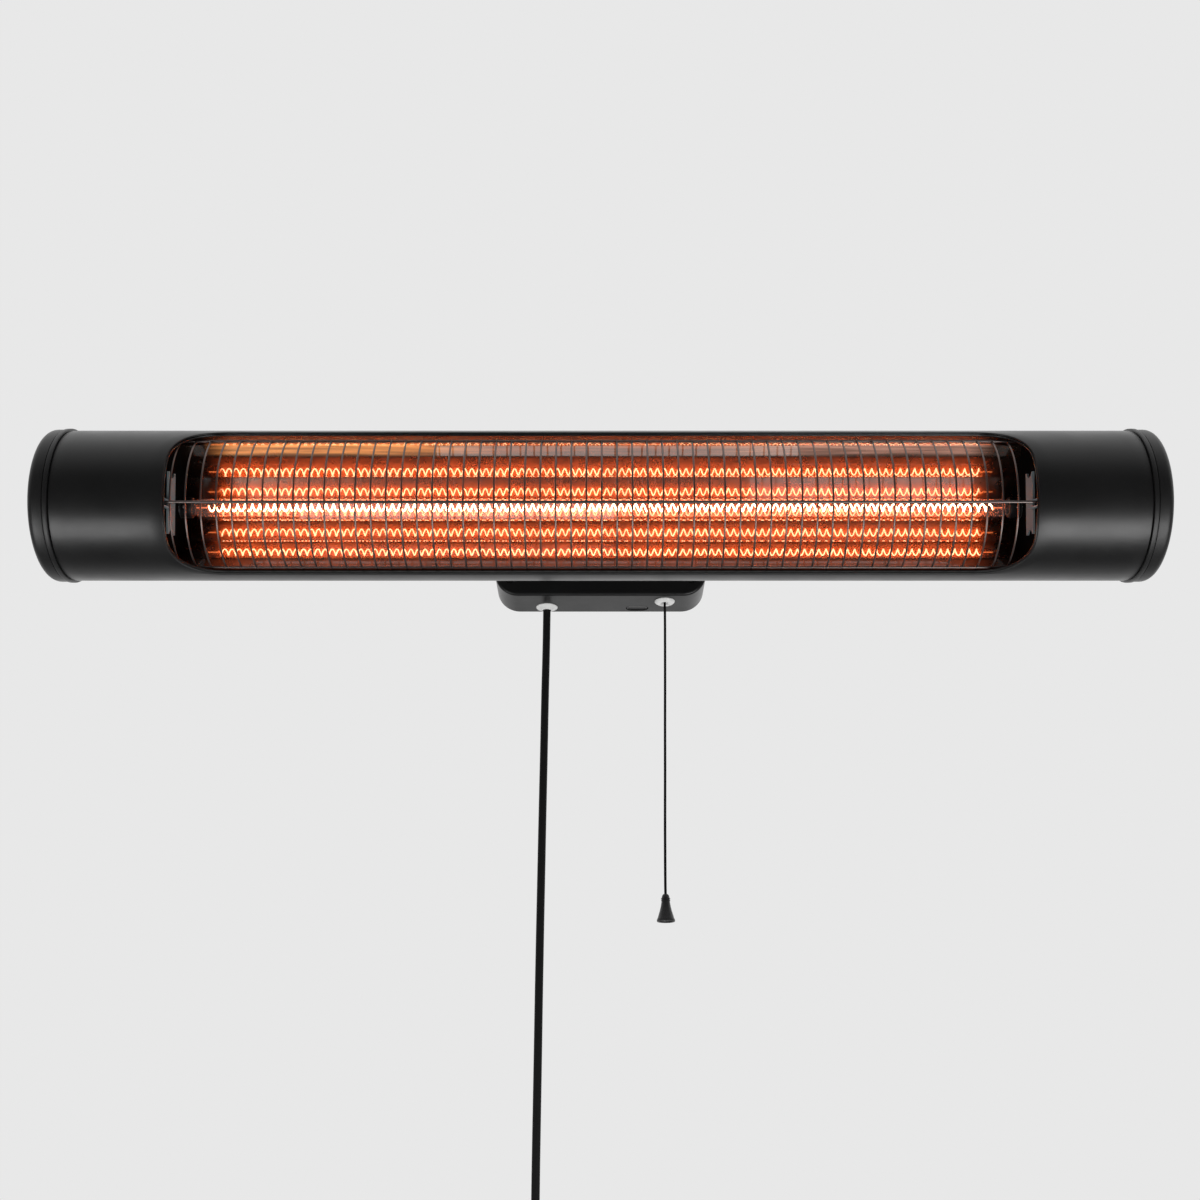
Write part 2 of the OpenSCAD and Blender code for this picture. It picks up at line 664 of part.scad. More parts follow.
// Strap round the top of the coil
module coil_tie() color([0.1, 0.1, 0.1]) {
    strap = 1;
    slack = 0.6;
    inner = coil_in_r - lead_d / 2 - slack;
    outer = coil_out_r + lead_d / 2 + slack;
    width = 9;
    mid_y = (coil_back_y + coil_front_y) / 2;
    thick = abs(coil_front_y - coil_back_y) + lead_d + 2 * slack;
    translate([coil_centre[0] - width / 2, mid_y, coil_centre[1] + (inner + outer) / 2])
        rotate([90, 0, 90]) linear_extrude(width) difference() {
            round_rect(thick + 2 * strap, outer - inner + 2 * strap, 3 + strap);
            round_rect(thick, outer - inner, 3);
        }
}

// Round two-pin plug with grip flats and a ribbed strain relief
module plug_body() color([0.04, 0.04, 0.04])
    translate(plug_at) difference() {
        union() {
            rotate_extrude() polygon([[0, 2], [4.6, 2], [6, -20], [10, -26], [13, -40],
                [plug_r, -plug_len + 12], [plug_r, -plug_len], [0, -plug_len]]);
            for (k = [0:4]) translate([0, 0, -2 - 3.6 * k]) cylinder(r = 6.4, h = 1.8);
        }
        cylinder(r = lead_d / 2 + fit, h = 10);
        for (s = [-1, 1]) {
            translate([-plug_r - over, s * (plug_r + 2.5) - 4, -plug_len + 14])
                cube([2 * (plug_r + over), 8, 30]);
            translate([s * plug_r, 0, -plug_len - over]) cylinder(r = 3.5, h = 8);
            translate([s * pin_x, 0, -plug_len - over]) cylinder(r = pin_r + running, h = 10 + over);
        }
    }

module plug_pins() color([0.75, 0.72, 0.6])
    translate(plug_at) for (s = [-1, 1]) translate([s * pin_x, 0, -plug_len - 17]) {
        cylinder(r = pin_r, h = 26);
        sphere(pin_r);
    }

// ---- heater head ---------------------------------------------------------------------------

cap_screw_degs = [180, 118, -118];
cap_screw_x = half_len - 6;

module saddle_screw_places() {
    for (s = [-1, 1], deg = [-1, 1]) translate([s * saddle_screw[0], 0, 0])
        on_radius(180 + deg * saddle_screw[1]) children();
}

// The tube, cut open at the window, drilled for cap screws, yoke screws and the supply
module body_shell() color([0.035, 0.035, 0.037]) in_head() difference() {
    rod_x(tube_r, -half_len + seat, half_len - seat);
    rod_x(bore_r, -half_len - over, half_len + over);
    translate([0, -10, 0]) rotate([90, 0, 0]) linear_extrude(tube_r)
        polygon(opening(window_len / 2, window_half_deg, window_corner));
    both_ends() for (deg = cap_screw_degs) translate([cap_screw_x, 0, 0]) on_radius(deg)
        translate([0, 0, bore_r - over]) cylinder(r = screw_r + fit, h = tube_wall + 2 * over);
    saddle_screw_places() translate([0, 0, bore_r - over])
        cylinder(r = screw_r + fit, h = tube_wall + 2 * over);
    rod_y(sleeve_r + fit, bore_r - 5, tube_r + over);
}

// Dark sheet lip that frames the window from inside
module window_trim() color([0.02, 0.02, 0.02]) in_head() intersection() {
    difference() {
        rod_x(bore_r - fit, -half_len, half_len);
        rod_x(bore_r - fit - trim_wall, -half_len - over, half_len + over);
    }
    translate([0, -7, 0]) rotate([90, 0, 0]) linear_extrude(tube_r) difference() {
        polygon(opening(window_len / 2 + trim_w, window_half_deg + 5, window_corner + trim_w));
        polygon(opening(window_len / 2 - trim_reach, window_half_deg - trim_reach,
                        window_corner - trim_reach));
    }
}

// Section of a cap: radius across, distance out from the tube's end upwards
module cap_section() {
    barrel = tube_r + cap_proud;
    inner = bore_r - fit - cap_wall;
    difference() {
        union() {
            square([tube_r + cap_lip_proud, cap_lip_w]);
            square([barrel - 0.6, cap_lip_w + 0.8]);
            translate([0, cap_lip_w + 0.8]) square([barrel, cap_len - cap_round - cap_lip_w - 0.8]);
            square([barrel - cap_round, cap_len]);
            translate([barrel - cap_round, cap_len - cap_round]) circle(cap_round);
            translate([0, -spigot_len]) square([bore_r - fit, spigot_len + over]);
        }
        translate([-1, -spigot_len - 1]) square([inner + 1, spigot_len + 1 + cap_len - cap_round]);
        translate([-1, 0]) square([inner - 4 + 1, cap_len - cap_wall]);
        translate([-1, cap_len - 0.8]) square([barrel - cap_round - 4 + 1, 2]);
        translate([-100, -50]) square([100, 100]);
    }
}

module end_cap() difference() {
    translate([half_len, 0, 0]) rotate([0, 90, 0]) rotate_extrude() cap_section();
    for (deg = cap_screw_degs) translate([cap_screw_x, 0, 0]) on_radius(deg)
        translate([0, 0, bore_r - cap_wall - over])
            cylinder(r = screw_r + running, h = cap_wall + 2 * over);
}

module right_end_cap() color([0.03, 0.03, 0.032]) in_head() end_cap();
module left_end_cap() color([0.03, 0.03, 0.032]) in_head() mirror([1, 0, 0]) end_cap();

module end_cap_screws() color([0.3, 0.3, 0.31]) in_head()
    both_ends() for (deg = cap_screw_degs) translate([cap_screw_x, 0, 0]) on_radius(deg)
        translate([0, 0, tube_r]) pan_screw(tube_wall + cap_wall + 1);

// Polished trough, folded from one sheet
module reflector() color([0.9, 0.88, 0.85]) in_head() {
    upper = [for (p = reflector_folds) [p[1], p[0]]];
    lower = [for (i = [len(upper) - 1:-1:0]) [upper[i][0], -upper[i][1]]];
    plate_x(-bulkhead_x + seat, bulkhead_x - seat) bent_sheet(concat(lower, upper), -reflector_t);
}

// Flanged disc across the tube with holes for lamp base, guard rod and lead
module bulkhead() {
    flange = 8;
    difference() {
        union() {
            rod_x(bore_r - seat, bulkhead_x, bulkhead_x + bulkhead_t);
            difference() {
                rod_x(bore_r - seat, bulkhead_x, bulkhead_x + flange);
                rod_x(bore_r - seat - bulkhead_t, bulkhead_x - over, bulkhead_x + flange + over);
            }
        }
        translate([0, lamp_back, 0]) rod_x(base_r + fit, bulkhead_x - over, bulkhead_x + 4);
        rotate([-guard_turn, 0, 0]) translate([0, -guard_r, 0])
            rod_x(guard_rod_d / 2 + fit, bulkhead_x - over, bulkhead_x + 4);
        translate([0, lead_back, 0]) rod_x(2 * lead_wire_r, bulkhead_x - over, bulkhead_x + 4);
    }
}

module right_bulkhead() color([0.04, 0.04, 0.04]) in_head() bulkhead();
module left_bulkhead() color([0.04, 0.04, 0.04]) in_head() mirror([1, 0, 0]) bulkhead();

// Grey straps with notched ends on the bulkheads' inside faces
module end_straps() color([0.45, 0.46, 0.48]) in_head() both_ends()
    translate([bulkhead_x - strap_size[0] - fit, strap_y, 0]) difference() {
        translate([0, -strap_size[1] / 2, -strap_size[2] / 2]) cube(strap_size);
        for (s = [-1, 1]) translate([0, 0, s * (strap_size[2] / 2 + 3)])
            rod_x(7, -over, strap_size[0] + over);
    }

// Bowed wires welded to three long rods
module wire_guard() color([0.08, 0.08, 0.085]) in_head() {
    tip = guard_half_deg + 3.5;
    span = guard_pitch * (guard_wires - 1);
    first = -span / 2 + guard_shift;
    for (i = [0:guard_wires - 1]) translate([first + guard_pitch * i, 0, 0])
        arc_x(guard_turn - tip, guard_turn + tip) translate([guard_r, 0]) circle(guard_wire_d / 2);
    for (deg = [-guard_half_deg, guard_half_deg])
        rotate([-guard_turn - deg, 0, 0]) translate([0, -guard_r, 0])
            rod_x(guard_rod_d / 2, first - 3, first + span + 7);
    rotate([-guard_turn, 0, 0]) translate([0, -guard_r, 0])
        rod_x(guard_rod_d / 2, -bulkhead_x - 3, bulkhead_x + 3);
}

// Quartz tube, flattened at its sealed ends
module lamp_tube() color([0.9, 0.9, 0.92, 0.35]) in_head() translate([0, lamp_back, 0]) {
    difference() {
        rod_x(lamp_d / 2, -glass_end, glass_end);
        rod_x(lamp_d / 2 - lamp_wall, -glass_end + 2, glass_end - 2);
    }
    both_ends() translate([glass_end, -1.4, -4.5]) cube([pinch_len, 2.8, 9]);
}

// Glowing coil: straight leads on the axis, half a turn to open out, and even turns between
filament_pitch = filament_len / filament_turns;
filament_steps = 6;
function filament_turn(i) =
    let (all = filament_turns * filament_steps, a = 360 * i / filament_steps,
         out = min(1, min(i, all - i) / (filament_steps / 2)), r = filament_r * out)
    [-filament_len / 2 + filament_pitch * i / filament_steps, r * cos(a), r * sin(a)];
filament_path = concat([[-glass_end + 2 + fit, 0, 0], [-filament_len / 2 - strand_d, 0, 0]],
    [for (i = [0:filament_turns * filament_steps]) filament_turn(i)],
    [[filament_len / 2 + strand_d, 0, 0], [glass_end - 2 - fit, 0, 0]]);

module filament() color([1, 0.45, 0.12]) in_head() translate([0, lamp_back, 0])
    swept_tube(filament_path, strand_d / 2, 5);

// Dark steel socket on a pinched end
module lamp_base() translate([0, lamp_back, 0]) difference() {
    x0 = glass_end + seat;
    rod_x(base_r, x0, x0 + base_len);
    translate([x0 - over, -1.4 - fit, -4.5 - fit])
        cube([pinch_len + over + fit, 2.8 + 2 * fit, 9 + 2 * fit]);
    translate([x0 + base_len - 5, 0, 0]) rod_x(1.5 + fit, 0, 6);
}

module right_lamp_base() color([0.06, 0.06, 0.06]) in_head() lamp_base();
module left_lamp_base() color([0.06, 0.06, 0.06]) in_head() mirror([1, 0, 0]) lamp_base();

// Ring clips that hold the sockets on the bulkheads' outside faces
module lamp_clips() color([0.6, 0.6, 0.62]) in_head() both_ends()
    translate([bulkhead_x + bulkhead_t, lamp_back, 0]) difference() {
        union() {
            plate_x(0, clip_size[0]) round_rect(clip_size[1], clip_size[2], 4);
            rod_x(base_r + clip_size[0] + fit, 0, clip_collar);
        }
        rod_x(base_r + fit, -over, clip_collar + over);
        translate([0, base_r, 0]) cube([2 * clip_collar + 2, clip_collar, 2], center = true);
    }

// Heat-proof wires behind the reflector, out through the bulkheads and round to the sockets
module lamp_leads() color([0.85, 0.83, 0.78]) in_head() both_ends() {
    far_x = glass_end + seat + base_len + 6;
    translate([0, lead_back, 0]) rod_x(lead_wire_r, 14, far_x);
    translate([far_x, lead_back, 0]) sphere(lead_wire_r);
    translate([far_x, 0, 0]) rod_y(lead_wire_r, lamp_back, lead_back);
    translate([far_x, lamp_back, 0]) sphere(lead_wire_r);
    translate([0, lamp_back, 0]) rod_x(lead_wire_r, far_x - 10.6, far_x);
}

// Ceramic joint block on the reflector's back
module ceramic_terminal() color([0.9, 0.88, 0.84]) in_head()
    translate([-20, reflector_folds[0][1] + reflector_t + seat, -8]) difference() {
        cube([40, 15, 16]);
        for (s = [0, 1]) translate([10 + 20 * s, 9, 8]) cylinder(r = 2.2, h = 9);
        translate([-over, lead_back - reflector_folds[0][1] - reflector_t - seat, 8])
            rod_x(lead_wire_r + fit, 0, 8);
        translate([33 - over, lead_back - reflector_folds[0][1] - reflector_t - seat, 8])
            rod_x(lead_wire_r + fit, 0, 9);
    }

// Curved saddle on the back of the tube with two ears
module tilt_yoke() color([0.07, 0.07, 0.072]) in_head() difference() {
    union() {
        arc_x(180 - saddle_deg, 180 + saddle_deg)
            translate([tube_r + fit, -saddle_x]) square([yoke_t, 2 * saddle_x]);
        both_ends() plate_x(yoke_x - yoke_t, yoke_x) difference() {
            union() {
                translate([pivot_back, 0]) circle(ear_r);
                polygon([[tube_r - 6, -22], [pivot_back, -ear_r], [pivot_back, ear_r], [tube_r - 6, 22]]);
            }
            circle(tube_r + fit);
        }
    }
    translate([0, pivot_back, 0]) rod_x(pivot_d / 2 + running, -yoke_x - over, yoke_x + over);
    saddle_screw_places() translate([0, 0, tube_r - over]) cylinder(r = screw_r + fit, h = 6);
    rod_y(sleeve_r + fit, tube_r - 5, tube_r + 6);
}

module yoke_screws() color([0.3, 0.3, 0.31]) in_head()
    saddle_screw_places() translate([0, 0, tube_r + fit + yoke_t]) pan_screw(yoke_screw_len);

// Collar on the back of the tube that takes the supply sleeve
module sleeve_collar() color([0.08, 0.08, 0.08]) in_head() {
    rod_y(sleeve_r, bore_r - 4, pivot_back - sleeve_r - seat);
    back = tube_r + 2 * fit + yoke_t;
    rod_y(sleeve_flange_r, back, back + sleeve_flange_t);
}

// Length of a path along its points
function path_length(path, i = 1, sum = 0) =
    i >= len(path) ? sum : path_length(path, i + 1, sum + norm(path[i] - path[i - 1]));

echo(coil_gap = least_gap(coil_path, lead_d, 12), filament_gap = least_gap(filament_path, strand_d, 5));
echo(stretch = path_length(lead_route), coil = path_length(coil_path), tail = path_length(tail_route),
    pull = path_length(cord_route));

wall_plate();
box_housing();
housing_screws();
wall_fork();
fork_screws();
pivot_bolts();
tilt_knobs();
friction_washers();
supply_sleeve();
lead_bushing();
cord_bushing();
blanking_plug();
lead_clamp();
terminal_block();
inner_wires();
switch_body();
return_spring();
mains_lead();
lead_coil();
coil_tie();
lead_tail();
plug_body();
plug_pins();
switch_plunger();
pull_cord();
pull_knob();
body_shell();
window_trim();
left_end_cap();
right_end_cap();
end_cap_screws();
reflector();
left_bulkhead();
right_bulkhead();
end_straps();
wire_guard();
lamp_tube();
filament();
left_lamp_base();
right_lamp_base();
lamp_clips();
lamp_leads();
ceramic_terminal();
tilt_yoke();
yoke_screws();
sleeve_collar();
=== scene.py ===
"""Looks of a wall-mounted electric bar heater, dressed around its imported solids.

Sizes in the classes are in millimetres, in the part's frame: the wall is at y = 0, +Y goes into it,
and +Z is up. The tilting head is made about its own axis and turned into its place at rest.
"""

import logging
import math
from dataclasses import dataclass, field, replace
from enum import Enum
from typing import Callable, Iterable, Optional, Sequence

import bmesh
import bpy
from mathutils import Matrix, Vector

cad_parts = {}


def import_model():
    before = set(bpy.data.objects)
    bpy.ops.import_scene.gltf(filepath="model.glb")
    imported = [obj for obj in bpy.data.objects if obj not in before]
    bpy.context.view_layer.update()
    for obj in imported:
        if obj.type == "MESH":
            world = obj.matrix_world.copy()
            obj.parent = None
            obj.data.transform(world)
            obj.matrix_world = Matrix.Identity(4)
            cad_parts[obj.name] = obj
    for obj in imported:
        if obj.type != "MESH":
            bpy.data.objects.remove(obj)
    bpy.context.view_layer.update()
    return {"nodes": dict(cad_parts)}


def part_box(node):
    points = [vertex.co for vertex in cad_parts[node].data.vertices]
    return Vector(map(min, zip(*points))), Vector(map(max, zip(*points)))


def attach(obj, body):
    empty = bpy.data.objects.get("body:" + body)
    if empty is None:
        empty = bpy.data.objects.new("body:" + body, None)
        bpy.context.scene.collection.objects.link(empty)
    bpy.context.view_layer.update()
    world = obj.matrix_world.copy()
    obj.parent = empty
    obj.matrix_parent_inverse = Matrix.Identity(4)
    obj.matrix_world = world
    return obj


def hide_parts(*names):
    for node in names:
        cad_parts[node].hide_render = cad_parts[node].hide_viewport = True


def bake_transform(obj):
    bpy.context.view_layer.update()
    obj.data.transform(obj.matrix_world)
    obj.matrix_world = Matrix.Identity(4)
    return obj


LOG = logging.getLogger("bar_heater")
MM = 0.001
Point = tuple[float, float, float]
Colour = tuple[float, float, float]
Outline = Sequence[tuple[float, float]]
Socket = bpy.types.NodeSocket
Tree = bpy.types.NodeTree
Node = bpy.types.Node
Piece = bpy.types.Object

TUBE_R = 60.0
BORE_R = 58.5
HALF_TUBE = 421.0
AXIS_Y, AXIS_Z = -128.0, -9.0
REST_TILT = math.radians(19)
PIVOT_BACK = 76.0
PIVOT_Y = AXIS_Y + PIVOT_BACK * math.cos(REST_TILT)
PIVOT_Z = AXIS_Z + PIVOT_BACK * math.sin(REST_TILT)

# Half height and depth of the reflector's folds, from the middle out; the last is the upper flange.
FOLDS = ((8.4, 32.0), (26.3, 23.5), (41.3, 9.4), (50.0, 3.5), (54.4, -15.0))


class Place(Enum):
    """The frames in which a piece can be made."""

    BOX = "box"
    HEAD = "head"

    def matrix(self) -> Matrix:
        """The turn and shift from this frame, in millimetres, to the part's frame, in metres.

        Returns:
            The matrix.
        """
        scale = Matrix.Scale(MM, 4)
        if self is Place.BOX:
            return scale
        return scale @ Matrix.Translation((0, AXIS_Y, AXIS_Z)) @ Matrix.Rotation(REST_TILT, 4, "X")


class Axis(Enum):
    """The line that a turned or extruded shape follows."""

    X = 0
    Y = 1
    Z = 2

    def point(self, along: float, u: float, v: float) -> Vector:
        """A point from its distance along the axis and two distances across it."""
        places = {Axis.X: (along, u, v), Axis.Y: (v, along, u), Axis.Z: (u, v, along)}
        return Vector(places[self])


# ---- shapes ----


def turns(steps: int, shift: float = 0.0) -> list[float]:
    """Angles evenly round a circle, turned on by a share of a step."""
    return [2 * math.pi * (k + shift) / steps for k in range(steps)]


def quarter(steps: int) -> list[float]:
    """Angles of a quarter circle, both ends with it."""
    return [math.pi / 2 * k / steps for k in range(steps + 1)]


@dataclass
class Shape:
    """Points and faces of a piece while it is made.

    Attributes:
        points: its points in millimetres.
        faces: its faces, by the numbers of their points.
    """

    points: list[Vector] = field(default_factory=list)
    faces: list[tuple[int, ...]] = field(default_factory=list)

    def add(self, points: Iterable[Sequence[float]], faces: Iterable[Sequence[int]]) -> "Shape":
        """Adds points and the faces between them.

        Args:
            points: the new points.
            faces: faces that count the new points from 0.

        Returns:
            The shape itself.
        """
        base = len(self.points)
        self.points += [Vector(p) for p in points]
        self.faces += [tuple(base + i for i in f) for f in faces]
        return self

    def grid(self, rows: Sequence[Sequence[Sequence[float]]], ring: bool = False, loop: bool = False,
             ends: bool = False) -> "Shape":
        """Joins rows of points by quads.

        Args:
            rows: rows with equally many points.
            ring: whether each row closes on itself.
            loop: whether the last row joins the first.
            ends: whether the first and last rows are closed by a face.

        Returns:
            The shape itself.
        """
        n, m = len(rows), len(rows[0])
        faces = [(i * m + j, i * m + (j + 1) % m, (i + 1) % n * m + (j + 1) % m, (i + 1) % n * m + j)
                 for i in range(n if loop else n - 1) for j in range(m if ring else m - 1)]
        if ends:
            faces += [tuple(range(m))[::-1], tuple((n - 1) * m + j for j in range(m))]
        return self.add([p for row in rows for p in row], faces)

    def lathe(self, profile: Outline, centre: Point = (0, 0, 0), axis: Axis = Axis.X,
              steps: int = 96) -> "Shape":
        """Turns a closed outline round an axis.

        Args:
            profile: pairs of radius and distance along the axis; where the first and last lie on
                the axis, their rings close to points.
            centre: a point of the axis.
            axis: its direction.
            steps: how many faces go round.

        Returns:
            The shape itself.
        """
        rows = [[Vector(centre) + axis.point(a, r * math.cos(t), r * math.sin(t)) for t in turns(steps)]
                for r, a in profile]
        solid = profile[0][0] < 1e-6 and profile[-1][0] < 1e-6
        return self.grid(rows, ring=True, loop=not solid)

    def sweep(self, path: Sequence[Sequence[float]], radius: Callable[[int], float] | float,
              sides: int = 12, start: Point = (0, 1, 0)) -> "Shape":
        """A closed tube along a path.

        Args:
            path: the points that it follows.
            radius: its radius, or a function from a point's number to the radius there.
            sides: how many faces go round.
            start: a direction across the path's start.

        Returns:
            The shape itself.
        """
        rows = []
        for i, (at, across, other) in enumerate(carried_frames(path, start)):
            r = radius(i) if callable(radius) else radius
            rows.append([at + r * (across * math.cos(t) + other * math.sin(t)) for t in turns(sides)])
        return self.grid(rows, ring=True, ends=True)

    def prism(self, outline: Outline, low: float, high: float, axis: Axis) -> "Shape":
        """A flat outline drawn out along an axis.

        Args:
            outline: its points across the axis.
            low: where the prism starts.
            high: where it ends.
            axis: the direction.

        Returns:
            The shape itself.
        """
        return self.grid([[axis.point(a, u, v) for u, v in outline] for a in (low, high)],
                         ring=True, ends=True)


def carried_frames(path: Sequence[Sequence[float]], start: Point) -> list[tuple[Vector, Vector, Vector]]:
    """A point and two directions across for each point of a path, carried along without twist.

    Args:
        path: the points.
        start: a direction across its start.

    Returns:
        One tuple for each point.
    """
    points = [Vector(p) for p in path]
    last = len(points) - 1
    across = Vector(start)
    frames = []
    for i, at in enumerate(points):
        along = (points[min(i + 1, last)] - points[max(i - 1, 0)]).normalized()
        across = (across - along * across.dot(along)).normalized()
        frames.append((at, across, along.cross(across)))
    return frames


def smooth_path(route: Sequence[Sequence[float]], parts: int) -> list[Vector]:
    """A smooth curve through a route's points.

    Args:
        route: the points to go through.
        parts: into how many parts each span is cut.

    Returns:
        The curve's points.
    """
    p = [Vector(q) for q in route]
    last = len(p) - 1
    out = []
    for i in range(last):
        a, b, c, d = p[max(i - 1, 0)], p[i], p[i + 1], p[min(i + 2, last)]
        for k in range(parts):
            t = k / parts
            out.append(b + 0.5 * t * (c - a + t * (2 * a - 5 * b + 4 * c - d + t * (3 * (b - c) + d - a))))
    return out + [p[last]]


def rounded(outline: Outline, cut: float, steps: int = 4) -> list[tuple[float, float]]:
    """A closed outline with its corners rounded.

    Args:
        outline: its corners.
        cut: how far each corner is cut back.
        steps: faces in each corner.

    Returns:
        The points of the rounded outline.
    """
    n = len(outline)
    out: list[tuple[float, float]] = []
    for i in range(n):
        before, at, after = (Vector(outline[(i + k) % n]) for k in (-1, 0, 1))
        a = at + (before - at).normalized() * min(cut, (before - at).length / 2)
        b = at + (after - at).normalized() * min(cut, (after - at).length / 2)
        out += [bend(a, at, b, k / steps) for k in range(steps + 1)]
    return out


def bend(a: Vector, corner: Vector, b: Vector, t: float) -> tuple[float, float]:
    """A point of the short curve from a to b that a corner draws to itself."""
    return tuple((1 - t) ** 2 * a + 2 * t * (1 - t) * corner + t * t * b)


def opening_outline(half_len: float, half_deg: float, corner: float) -> list[tuple[float, float]]:
    """Outline of the window on the tube's wall.

    Args:
        half_len: half of its length.
        half_deg: half of the angle that it opens.
        corner: corner radius on the unrolled tube.

    Returns:
        Pairs of place along the tube and angle up from the window's middle, in radians.
    """
    corner_steps, end_steps, side_steps = 14, 24, 60
    turn = math.degrees(corner / TUBE_R)
    corner_line = [(half_len - corner + corner * math.cos(t), half_deg - turn + turn * math.sin(t))
                   for t in quarter(corner_steps)]
    (end_x, end_deg), (side_x, _) = corner_line[0], corner_line[-1]
    end = [(end_x, end_deg * (2 * k / end_steps - 1)) for k in range(1, end_steps)]
    side = [(side_x * (1 - 2 * k / side_steps), half_deg) for k in range(1, side_steps)]
    upper = corner_line + side + [(-x, d) for x, d in reversed(corner_line)]
    outline = upper + [(-x, -d) for x, d in end + upper] + end
    return [(x, math.radians(d)) for x, d in outline]


def on_tube(x: float, angle: float, r: float) -> Vector:
    """A point of the head at a place along it, an angle up from the window's middle and a radius."""
    return Vector((x, -r * math.cos(angle), r * math.sin(angle)))


# ---- node trees ----


class Graph:
    """Places nodes in a tree and joins them."""

    def __init__(self, tree: Tree) -> None:
        """Takes the tree to fill."""
        self.tree = tree

    def feed(self, node: Node, **inputs: object) -> Node:
        """Sets or joins a node's inputs.

        Args:
            node: the node.
            **inputs: values or output sockets for its inputs, their names with _ for a space;
                i0, i1 and so on name an input by its number.

        Returns:
            The node.
        """
        for name, value in inputs.items():
            by_number = name[0] == "i" and name[1:].isdigit()
            socket = node.inputs[int(name[1:])] if by_number else node.inputs[name.replace("_", " ")]
            if isinstance(value, Socket):
                self.tree.links.new(value, socket)
            else:
                socket.default_value = value
        return node

    def add(self, kind: str, settings: Optional[dict] = None, **inputs: object) -> Node:
        """Adds a node.

        Args:
            kind: the node's type.
            settings: its own properties.
            **inputs: its inputs, as feed takes them.

        Returns:
            The node.
        """
        node = self.tree.nodes.new(kind)
        for name, value in (settings or {}).items():
            setattr(node, name, value)
        return self.feed(node, **inputs)

    def math(self, operation: str, a: object, b: object = 0.0) -> Socket:
        """A Math node's result."""
        return self.add("ShaderNodeMath", {"operation": operation}, i0=a, i1=b).outputs[0]

    def weigh(self, a: Socket, share_a: float, b: Socket, share_b: float) -> Socket:
        """The weighted sum of two values."""
        return self.math("ADD", self.math("MULTIPLY", a, share_a), self.math("MULTIPLY", b, share_b))

    def ramp(self, value: Socket, low: float, high: float, to_low: object = 0.0,
             to_high: object = 1.0) -> Socket:
        """A value carried from one range to another and kept inside it."""
        return self.add("ShaderNodeMapRange", i0=value, i1=low, i2=high, i3=to_low, i4=to_high).outputs[0]

    def mix(self, factor: object, a: object, b: object) -> Socket:
        """Two colours, each a socket or three numbers, mixed by a factor."""
        a, b = (c if isinstance(c, Socket) else (*c, 1) for c in (a, b))
        return self.add("ShaderNodeMix", {"data_type": "RGBA"}, i0=factor, i6=a, i7=b).outputs[2]

    def noise(self, vector: Socket, scale: object, detail: float = 3.0, roughness: float = 0.55) -> Socket:
        """A noise pattern's value."""
        return self.add("ShaderNodeTexNoise", Vector=vector, Scale=scale, Detail=detail,
                        Roughness=roughness).outputs[0]

    def where(self, output: str = "Object") -> Socket:
        """The coordinates on the piece."""
        return self.add("ShaderNodeTexCoord").outputs[output]

    def stretched(self, vector: Socket, scale: Point) -> Socket:
        """Coordinates stretched along the axes; a small number draws a pattern out."""
        return self.add("ShaderNodeMapping", Vector=vector, Scale=scale).outputs[0]

    def across(self, vector: Socket) -> Socket:
        """The distance to the right of the middle."""
        return self.add("ShaderNodeSeparateXYZ", i0=vector).outputs[0]

    def reach(self, vector: Socket, way: Point) -> Socket:
        """How far a vector reaches along a direction."""
        return self.add("ShaderNodeVectorMath", {"operation": "DOT_PRODUCT"}, i0=vector,
                        i1=way).outputs["Value"]

    def dimmed(self, colour: Socket, level: Socket) -> Socket:
        """A colour times a level."""
        return self.add("ShaderNodeVectorMath", {"operation": "SCALE"}, i0=colour, Scale=level).outputs[0]

    def bump(self, height: Socket, depth: float) -> Socket:
        """The normal of a height pattern, its depth in millimetres."""
        return self.add("ShaderNodeBump", Strength=1.0, Distance=depth * MM, Height=height).outputs[0]

    def effect(self, name: str, vector: Socket, size: float, **inputs: object) -> Node:
        """Places one of the shared effects."""
        return self.add("ShaderNodeGroup", {"node_tree": Effects.get(name)}, Vector=vector, Size=size,
                        **inputs)


def new_group(name: str, inputs: dict[str, tuple[str, float]], outputs: Sequence[str]
              ) -> tuple[Graph, Node, Node]:
    """Starts a shader node group.

    Args:
        name: its name.
        inputs: input names with their socket type and value.
        outputs: names of its number outputs.

    Returns:
        The graph, its input node and its output node.
    """
    tree = bpy.data.node_groups.new(name, "ShaderNodeTree")
    for label, (kind, value) in inputs.items():
        socket = tree.interface.new_socket(label, in_out="INPUT", socket_type=kind)
        if kind == "NodeSocketFloat":
            socket.default_value = value
    for label in outputs:
        tree.interface.new_socket(label, in_out="OUTPUT", socket_type="NodeSocketFloat")
    graph = Graph(tree)
    return graph, graph.add("NodeGroupInput"), graph.add("NodeGroupOutput")


